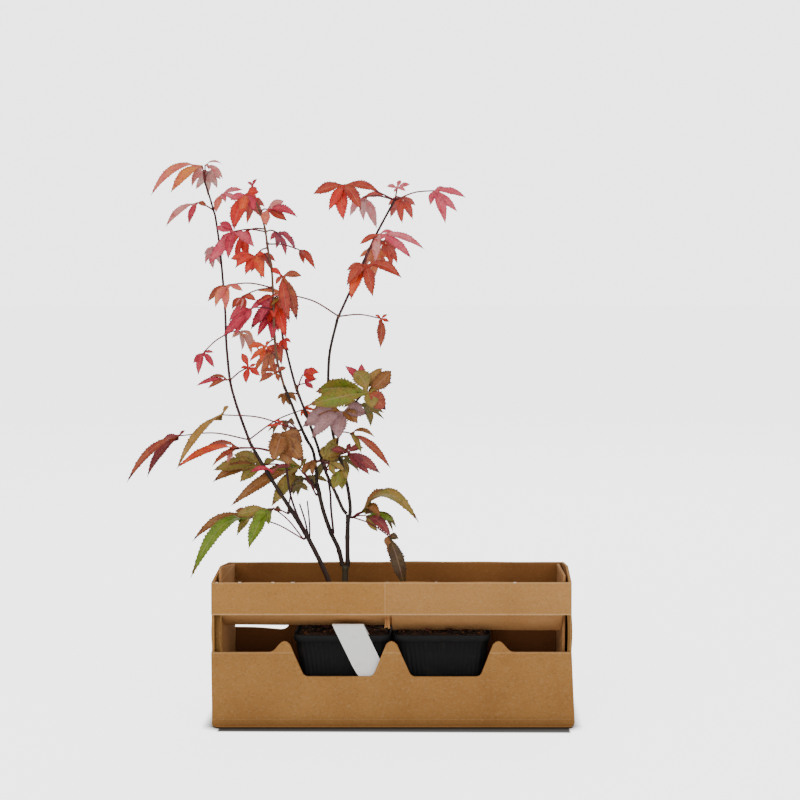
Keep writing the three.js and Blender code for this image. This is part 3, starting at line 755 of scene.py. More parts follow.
class Sheaf:
    # many small closed shapes, gathered into one mesh
    def __init__(self):
        self.corners = []
        self.faces = []
        self.looks = []
        self.places = []
        self.kinds = []

    def add(self, corners, faces, look, places=None, kinds=None):
        first = len(self.corners)
        self.corners += [tuple(corner * mm) for corner in corners]
        self.faces += [tuple(first + c for c in face) for face in faces]
        self.looks += look if isinstance(look, list) else [look] * len(faces)
        self.places += places or [(0.0, 0.0)] * len(corners)
        self.kinds += kinds or [0] * len(corners)

    def mesh(self, name):
        mesh = bpy.data.meshes.new(name)
        mesh.from_pydata(self.corners, [], self.faces)
        mesh.polygons.foreach_set("material_index", self.looks)
        owner = np.zeros(len(mesh.loops), dtype=np.int32)
        mesh.loops.foreach_get("vertex_index", owner)
        layer = mesh.uv_layers.new(name="lobe")
        layer.data.foreach_set("uv", np.array(self.places, dtype=np.float32)[owner].ravel())
        mesh.shade_smooth()
        ends = np.zeros(len(mesh.edges) * 2, dtype=np.int32)
        mesh.edges.foreach_get("vertices", ends)
        kinds = np.array(self.kinds)[ends.reshape(-1, 2)]
        sharp = (kinds[:, 0] == kinds[:, 1]) & (kinds[:, 0] > 0)
        flag = mesh.attributes.new("sharp_edge", "BOOLEAN", "EDGE")
        flag.data.foreach_set("value", sharp)
        mesh.update()
        return mesh


def addBlock(sheaf, middle, size, turn, look, rng):
    # one small rough block
    corners = []
    for sz in (-1, 1):
        for sx, sy in ((-1, -1), (1, -1), (1, 1), (-1, 1)):
            corner = Vector((sx * size.x, sy * size.y, sz * size.z)) * rng.uniform(0.7, 1.05) / 2
            corners.append(middle + turn @ corner)
    faces = [(3, 2, 1, 0), (4, 5, 6, 7), (0, 1, 5, 4), (1, 2, 6, 5), (2, 3, 7, 6), (3, 0, 4, 7)]
    sheaf.add(corners, faces, look)


def makeChips(rng):
    # bark chips, heaped to the pots' rims, and scraps of fallen leaf on them
    sheaf = Sheaf()
    half = pot["lip"] - 4
    for middleX in pot["middles"]:
        for k in range(soil["chips"]):
            x, y = rng.uniform(-half, half), rng.uniform(-half, half)
            size = Vector([rng.uniform(*soil[key]) for key in ("long", "wide", "high")])
            turn = Matrix.Rotation(rng.uniform(0, 6.28), 3, "Z")
            turn = turn @ Matrix.Rotation(rng.uniform(-0.7, 0.7), 3, "X")
            middle = Vector((middleX + x, y, heapAt(x, y) + rng.uniform(-0.3, 1.2)))
            if abs(x) < half - 4 or abs(y) < half - 4:
                addBlock(sheaf, middle, size, turn, rng.choice([0, 1, 1, 1, 2]), rng)
        for k in range(soil["scraps"]):
            x, y = rng.uniform(-half, half) * 0.85, rng.uniform(-half, half) * 0.85
            middle = Vector((middleX + x, y, heapAt(x, y) + 1.6))
            heading = rng.uniform(0, 6.28)
            tip = Vector((math.cos(heading), math.sin(heading), rng.uniform(-0.05, 0.3)))
            tip *= rng.uniform(*soil["scrap"])
            addLeaf(sheaf, middle, [tip], Vector((0, 0, 1)), [rng.choice([3, 3, 4])], rng, plain=True)
    materials = [
        soilLook("bark chip", "4e2c1a", "301c12"),
        soilLook("old bark chip", "2a1c16", "17100c"),
        soilLook("pale bark chip", "6a4428", "4a2e1c"),
        soilLook("fallen leaf", "5c1c1c", "3a1414"),
        soilLook("fallen brown leaf", "6a4426", "4a2c1a"),
    ]
    addPiece("bark_chips", sheaf.mesh("bark_chips"), materials, "soil")


label = {
    "width": 25.5, "thick": 0.5, "foot": 44, "footX": -16.4, "lean": 26, "front": -46.5, "rows": 44,
    # its bend over the pot's rim: back from its front and up from the rim
    "bend": [(0, 0), (0, 6), (0.9, 9), (3.2, 10.2), (6, 8)], "end": (7.8, 0.8),
}


def makeLabel():
    front = label["front"]
    points = [(0, front, label["foot"])]
    points += [(0, front + back, pot["top"] + up) for back, up in label["bend"]]
    points.append((0, front + label["end"][0], pot["soilTop"] + label["end"][1]))
    line = Limb(points, 1, 1)
    shape = bmesh.new()
    bmesh.ops.create_grid(shape, x_segments=8, y_segments=label["rows"], size=0.5)
    side = label["width"] / 2 / math.cos(math.radians(label["lean"]))
    for vert in shape.verts:
        along = min(max(vert.co.y + 0.5, 0), 1)
        place = line.at(along)
        narrowing = 1 - 0.12 * hump(along, 0, 0.02)
        middle = label["footX"] - (place.z - label["foot"]) * math.tan(math.radians(label["lean"]))
        vert.co = Vector((middle + vert.co.x * 2 * side * narrowing, place.y, place.z)) * mm
    thicken(shape, label["thick"])
    addPiece("plant_label", finishShape("plant_label", shape, 50), [labelLook()], "label", "label")


# Limbs: smooth lines through a few points

class Limb:
    def __init__(self, points, fromRadius, toRadius):
        self.points = [Vector(point) for point in points]
        self.fromRadius = fromRadius
        self.toRadius = toRadius

    def at(self, share):
        # the same curve as the part's own limbs: through all points, at half tension
        points = self.points
        spans = len(points) - 1
        span = min(int(share * spans), spans - 1)
        t = share * spans - span
        p1, p2 = points[span], points[span + 1]
        p0 = points[span - 1] if span > 0 else p1 * 2 - p2
        p3 = points[span + 2] if span + 2 <= spans else p2 * 2 - p1
        v1, v2 = (p2 - p0) / 2, (p3 - p1) / 2
        return ((p1 - p2) * 2 + v1 + v2) * t ** 3 + ((p2 - p1) * 3 - v1 * 2 - v2) * t ** 2 + v1 * t + p1

    def node(self, place):
        return self.at(place / (len(self.points) - 1))

    def radius(self, share):
        return self.fromRadius + (self.toRadius - self.fromRadius) * share

    def tangent(self, share):
        return (self.at(min(share + 0.001, 1)) - self.at(max(share - 0.001, 0))).normalized()

    def length(self):
        steps = [self.at(k / 60) for k in range(61)]
        return sum((b - a).length for a, b in zip(steps, steps[1:]))


def tubeRings(limb, count, sides, radiusAt):
    across = Vector((0.31, -0.95, 0.1))
    rings = []
    for k in range(count + 1):
        share = k / count
        along = limb.tangent(share)
        across = (across - along * across.dot(along)).normalized()
        third = along.cross(across)
        middle = limb.at(share)
        ring = []
        for s in range(sides):
            turn = 2 * math.pi * s / sides
            spoke = across * math.cos(turn) + third * math.sin(turn)
            ring.append(middle + spoke * radiusAt(share, middle, spoke))
        rings.append(ring)
    return rings


def addTube(sheaf, limb, step, sides, look, radiusAt=None, lookAt=None):
    # one closed tube along a limb, for twigs and leaf stalks
    count = max(int(limb.length() / step), 2)
    rings = tubeRings(limb, count, sides, radiusAt or (lambda share, middle, spoke: limb.radius(share)))
    corners = [corner for ring in rings for corner in ring]
    faces, looks = [], []
    for r in range(count):
        for s in range(sides):
            here, ahead = r * sides + s, r * sides + (s + 1) % sides
            faces.append((here, ahead, ahead + sides, here + sides))
            looks.append(lookAt(r / count) if lookAt else look)
    faces += [tuple(range(sides - 1, -1, -1)), tuple(count * sides + s for s in range(sides))]
    looks += [look, look]
    sheaf.add(corners, faces, looks)


bark = {
    "sides": 14, "step": 1.6, "skin": 0.25, "relief": 0.06, "knot": 0.17, "knotHalf": 1.7, "reach": 1.4,
    "flareOver": 3.2, "buttresses": 5, "buttress": 0.25, "stubSides": 8,
}


def makeLimb(row, material):
    # bark skin of one limb: knots where leaves once grew, fine ridges, and a foot that spreads
    flare = row.get("flare")
    plain = Limb(row["points"], *row["radii"])
    start = plain.points[0] - plain.tangent(0) * (0 if flare else bark["reach"])
    limb = Limb([start] + plain.points[1:], *row["radii"])
    length = limb.length()

    def radiusAt(share, middle, spoke):
        radius = limb.radius(share) + bark["skin"]
        for knot in row["knots"]:
            radius *= 1 + bark["knot"] * hump(share * length, knot * length, bark["knotHalf"])
        if flare:
            buttress = math.sin(bark["buttresses"] * math.atan2(spoke.y, spoke.x))
            spread = flare * math.exp(-share * length / bark["flareOver"])
            radius += spread * (1 + bark["buttress"] * buttress)
        ridge = noise.noise(Vector((middle.x + spoke.x * 3, middle.y + spoke.y * 3, middle.z * 0.35)))
        return radius * (1 + bark["relief"] * ridge)

    shape = bmesh.new()
    count = int(length / bark["step"])
    rings = tubeRings(limb, count, bark["sides"], radiusAt)
    ring = bmesh.ops.create_circle(shape, cap_ends=True, radius=1, segments=bark["sides"])["verts"]
    for vert, place in zip(ring, rings[0]):
        vert.co = place * mm
    for places in rings[1:]:
        ring = nextRing(shape, ring)
        for vert, place in zip(ring, places):
            vert.co = place * mm
    bmesh.ops.contextual_create(shape, geom=ring)
    bmesh.ops.recalc_face_normals(shape, faces=shape.faces)
    name = row["name"]
    addPiece(name + "_bark", finishShape(name, shape, 60), [material], "bark", name)
    for points, radius in row.get("stubs", []):
        addTube(twigs, Limb(points, radius, radius * 0.8), 2, bark["stubSides"], 0)
    return plain


# Leaves: palmate blades whose toothed lobes each run from the hub to their own tip

leaf = {
    "seed": 770, "gain": 1.34, "half": 4.9, "halfVaries": (0.88, 1.12), "fullAt": 18,
    "teeth": 3, "perTooth": 4.2, "toothAt": 0.62, "jag": 0.09, "lastJag": 0.03, "jagVaries": (0.88, 1.1),
    "notch": 0.93, "sinus": 0.21, "base": 0.2, "fold": 0.3, "foldVaries": (0.4, 1.4),
    "thick": 0.42, "arch": (0.06, 0.15), "twist": 38, "sickle": 0.05,
    "outerTurn": 32, "outerReach": 0.09, "tipFrom": 0.86, "spread": 42, "curl": (0.2, 0.4),
    "flattest": 0.05, "deepest": 0.75, "depthVaries": 0.14,
    "lobeRise": 1.45, "lobeFall": 1.3, "lobePeak": 0.1492,
}
lobeShares = [(-3, 0.26), (-2, 0.6), (-1, 0.9), (0, 1), (1, 0.9), (2, 0.6), (3, 0.26)]


def lobeWidth(share):
    # half the lobe's width along it: slim at its foot, widest just past the middle, drawn out to a point
    return (share ** leaf["lobeRise"] * (1 - share) ** leaf["lobeFall"]) / leaf["lobePeak"]


def facing(lean):
    # the upper side of a blade that leans this many degrees to the front
    turn = math.radians(lean)
    return Vector((0, -math.sin(turn), math.cos(turn)))


def lobeFrames(tips, upper, forward):
    # for each lobe the directions along it, out of its face and across it
    frames = []
    for tip in tips:
        along = tip.normalized()
        out = upper - along * upper.dot(along)
        out = out.normalized() if out.length > 0.2 else (forward - along * forward.dot(along)).normalized()
        frames.append((along, out, out.cross(along)))
    return frames


def lobeFaces(level, before, after, rows, end):
    # one side of a lobe, the upper or the lower: its faces, and for each whether it is in the tip
    hub, rib = level, rows[0][level]
    nearNotch, farNotch = (edge[0] for edge in rows[0][2])
    faces = [(hub, before, rib), (rib, before, nearNotch), (hub, rib, after), (rib, farNotch, after)]
    inTip = [False] * len(faces)
    for row, following in zip(rows, rows[1:] + [None]):
        here = row[level]
        ahead = following[level] if following else end
        for s, (notch, point) in enumerate(row[2]):
            trio = [(here, point, ahead), (here, notch, point)]
            if following:
                trio.append((ahead, point, following[2][s][0]))
            faces += [face if s == 0 else (face[0], face[2], face[1]) for face in trio]
            inTip += [row[3]] * len(trio)
    if level == 0:
        faces = [(a, c, b) for a, b, c in faces]
    return faces, inTip


def addLeaf(sheaf, hub, tips, upper, looks, rng, plain=False, width=1.0, archBy=1.0):
    # tips are the lobes' ends from the hub, and looks the first material of each lobe
    mean = sum((tip.normalized() for tip in tips), Vector())
    mean = mean if mean.length > 0.2 else tips[0].copy()
    upper = (upper - mean.normalized() * upper.dot(mean.normalized())).normalized()
    forward = mean.normalized()
    sideways = upper.cross(forward)
    order = sorted(range(len(tips)), key=lambda k: math.atan2(tips[k].dot(sideways), tips[k].dot(forward)))
    tips = [tips[k] for k in order]
    looks = [looks[k] for k in order]
    corners = [hub + upper * leaf["thick"] / 2, hub - upper * leaf["thick"] / 2]
    places = [(0.0, 0.0), (0.0, 0.0)]
    kinds = [1, 1]  # one for a rib, two for the rim
    faces, faceLooks = [], []

    def put(place, u, v, kind):
        corners.append(place)
        places.append((u, v))
        kinds.append(kind)
        return len(corners) - 1

    frames = lobeFrames(tips, upper, forward)
    outer = math.radians(leaf["outerTurn"])
    along, out, side = frames[0]
    turn = along * math.cos(outer) - side * math.sin(outer)
    before = put(hub + turn * tips[0].length * leaf["outerReach"], -1, 0.1, 2)
    first = before
    for k, tip in enumerate(tips):
        along, out, side = frames[k]
        length = tip.length
        if k + 1 < len(tips):
            reach = leaf["sinus"] * min(length, tips[k + 1].length)
            middle = along + frames[k + 1][0]
            middle = middle.normalized() if middle.length > 0.5 else side
            after = put(hub + middle * reach, 1, 0.15, 2)
        else:
            turn = along * math.cos(outer) + side * math.sin(outer)
            after = put(hub + turn * length * leaf["outerReach"], 1, 0.1, 2)
        arch = rng.uniform(*leaf["arch"]) * length * archBy
        twist = rng.uniform(-1, 1) * leaf["twist"] / max(width, 1)
        sickle = rng.uniform(-1, 1) * leaf["sickle"] * length
        half = leaf["half"] * width * rng.uniform(*leaf["halfVaries"])
        half *= 1 - math.exp(-length / leaf["fullAt"])
        fold = leaf["fold"] * rng.uniform(*leaf["foldVaries"])
        lift = (out * 0.7 + Vector((0, 0, 0.3)) * (0.4 + abs(along.x))).normalized()

        def rib(share):
            swell = 4 * share * (1 - share)
            return hub + tip * share + lift * arch * swell + side * sickle * swell

        def edge(share, sign, width):
            spin = math.radians(twist) * share ** 2
            across = side * math.cos(spin) + out * math.sin(spin)
            rise = out * math.cos(spin) - side * math.sin(spin)
            return rib(share) + across * sign * width + rise * width * fold

        teeth = int(leaf["teeth"] + length / leaf["perTooth"])
        rows = []
        for j in range(teeth):
            share = leaf["base"] + (1 - leaf["base"]) * j / teeth
            thick = leaf["thick"] * (1 - 0.7 * share) / 2
            spin = math.radians(twist) * share ** 2
            rise = out * math.cos(spin) - side * math.sin(spin)
            above = put(rib(share) + rise * thick, 0, share, 1)
            below = put(rib(share) - rise * thick, 0, share, 1)
            wide = half * lobeWidth(share)
            tooth = share + leaf["toothAt"] * (1 - leaf["base"]) / teeth
            sharp = half * lobeWidth(tooth) + half * leaf["jag" if j < teeth - 1 else "lastJag"]
            jag = rng.uniform(*leaf["jagVaries"])
            edges = [
                (put(edge(share, sign, wide * leaf["notch"]), sign, share, 2),
                 put(edge(tooth, sign, sharp * jag), sign * 1.1, tooth, 2))
                for sign in (-1, 1)
            ]
            rows.append((above, below, edges, share > leaf["tipFrom"]))
        end = put(rib(1), 0, 1, 2)
        for level in (0, 1):
            made, inTip = lobeFaces(level, before, after, rows, end)
            faces += made
            # a tint has three materials: upper side, its tips, under side
            shades = [2 if level else int(isTip) for isTip in inTip]
            faceLooks += [looks[k] if plain else looks[k] * 3 + shade for shade in shades]
        before = after
    faces += [(0, 1, first), (1, 0, before)]
    faceLooks += [faceLooks[0]] * 2
    sheaf.add(corners, faces, faceLooks, places, kinds)


def seenTips(shown, face, rng):
    # tips given to the right of and above the hub, with the depth that the blade's lean gives them
    tips = []
    lean = math.tan(math.radians(face))
    for right, up, *_ in shown:
        reach = math.hypot(right, up)
        depth = up / (lean if abs(lean) > leaf["flattest"] else leaf["flattest"])
        limit = leaf["deepest"] * reach
        depth = max(-limit, min(limit, depth))
        depth += rng.uniform(-leaf["depthVaries"], leaf["depthVaries"]) * reach
        tips.append(Vector((right, depth, up)))
    return tips


def grownTips(blade, heading, droop, face, rng):
    # the part's own rule for a blade: lobes fan from its heading, shorter to the sides
    turn, fall = math.radians(heading), math.radians(droop)
    along = Vector((math.cos(turn) * math.cos(fall), math.sin(turn) * math.cos(fall), -math.sin(fall)))
    upper = facing(face)
    if face == 0:
        upper += Vector((math.cos(turn), math.sin(turn), 0)) * 0.05
    upper = (upper - along * upper.dot(along)).normalized()
    across = along.cross(upper)
    bend = rng.uniform(*leaf["curl"])
    spread = leaf["spread"] - 0.28 * max(droop, 0)
    tips = []
    for place, share in lobeShares:
        angle = math.radians(place * spread + rng.uniform(-5, 5))
        reach = blade * share * (1 if place == 0 else rng.uniform(0.85, 1.05))
        tips.append((along * math.cos(angle) + across * math.sin(angle)) * reach
                    - upper * bend * reach * reach / blade)
    return tips, upper


petiole = {"root": 0.86, "tip": 0.7, "arch": 0.07, "step": 5, "sides": 6}
shoot = {
    "step": 2.2, "sides": 8, "knot": 0.28, "knotHalf": 1.3, "scar": 1.1, "bud": 1.1, "budShare": 0.5,
    "clear": 0.3, "neck": 2.5, "sunk": 1.5,
}


def addBud(sheaf, place, along, size, look):
    # a pointed bud, as a short spindle
    def swell(share, middle, spoke):
        return size * (0.55 * math.sin(math.pi * (0.15 + 0.85 * share)) + 0.05)

    line = Limb([place, place + along * size, place + along * size * 2.4], 0, 0)
    addTube(sheaf, line, size * 0.5, 6, look, swell)


def massStem(mass, limb):
    # the stem that a mass grows on, and its skin, which starts inside the limb
    place = mass.get("at", len(limb.points) - 1)
    share = place / (len(limb.points) - 1)
    heading = limb.tangent(share)
    if "toward" in mass:
        outward = Vector(mass["toward"])
        heading = (outward - heading * outward.dot(heading)).normalized()
        start = limb.node(place) + heading * (limb.radius(share) + shoot["clear"])
        springs = [start, start + heading * shoot["neck"]]
    else:
        springs = [limb.node(place) + heading * shoot["clear"]]
    stem = Limb(springs + [Vector(point) for point in mass.get("path", [])], *mass["radii"])
    return stem, Limb([springs[0] - heading * shoot["sunk"]] + stem.points, *mass["radii"])


def addShoot(mass, stem, skin):
    # the mass's stem, thicker and scarred where its leaves spring
    knots = sorted({min(row[0], len(stem.points) - 1) for row in mass["shown"] + mass.get("grown", [])})
    length = skin.length()
    places = [(knot + 1) / (len(skin.points) - 1) * length for knot in knots]

    def radiusAt(share, middle, spoke):
        radius = skin.radius(share) + bark["skin"]
        for place in places:
            radius *= 1 + shoot["knot"] * hump(share * length, place, shoot["knotHalf"])
        return radius

    def lookAt(share):
        isScar = any(abs(share * length - place) < shoot["scar"] for place in places)
        return 1 if isScar else mass.get("twig", 0)

    addTube(twigs, skin, shoot["step"], shoot["sides"], 0, radiusAt, lookAt)


def growMass(mass, limbs, rng):
    stem, skin = massStem(mass, limbs[mass["from"]])
    addShoot(mass, stem, skin)
    sheaf = Sheaf()
    names = []

    def lookOf(tint):
        if tint not in names:
            names.append(tint)
        return names.index(tint)

    def hang(node, offset, tips, upper, looks, width=1.0, archBy=1.0):
        # one leaf on its stalk, at times with a bud beside it
        root = stem.node(min(node, len(stem.points) - 1))
        hub = root + offset
        addLeaf(sheaf, hub, tips, upper, looks, rng, False, width, archBy)
        bow = root.lerp(hub, 0.5) + Vector((0, 0, petiole["arch"] * (hub - root).length))
        stalk = Limb([root, bow, hub], petiole["root"], petiole["tip"])
        addTube(stalks, stalk, petiole["step"], petiole["sides"], 0)
        if rng.random() < shoot["budShare"]:
            addBud(twigs, root, (offset.normalized() + Vector((0, 0, 1))).normalized(), shoot["bud"], 1)

    for node, offset, lean, tint, shown, *form in mass["shown"]:
        tips = seenTips(shown, lean, rng)
        looks = [lookOf(tip[2] if len(tip) > 2 else tint) for tip in shown]
        hang(node, Vector(offset), tips, facing(lean), looks, *(form[0] if form else ()))
    for node, offset, blade, heading, droop, lean, tint in mass.get("grown", []):
        tips, upper = grownTips(blade, heading, droop, lean, rng)
        hang(node, Vector(offset), tips, upper, [lookOf(tint)] * len(tips))
    materials = [material for tint in names for material in leafMaterials(tint)]
    addPiece(mass["name"] + "_leaves", sheaf.mesh(mass["name"]), materials, mass["slot"], mass["name"])


ground = pot["soilTop"] + 0.3
slim, full, broad = (0.75, 1.2), (1.25, 1.0), (1.6, 1.0)
twigs = Sheaf()
stalks = Sheaf()

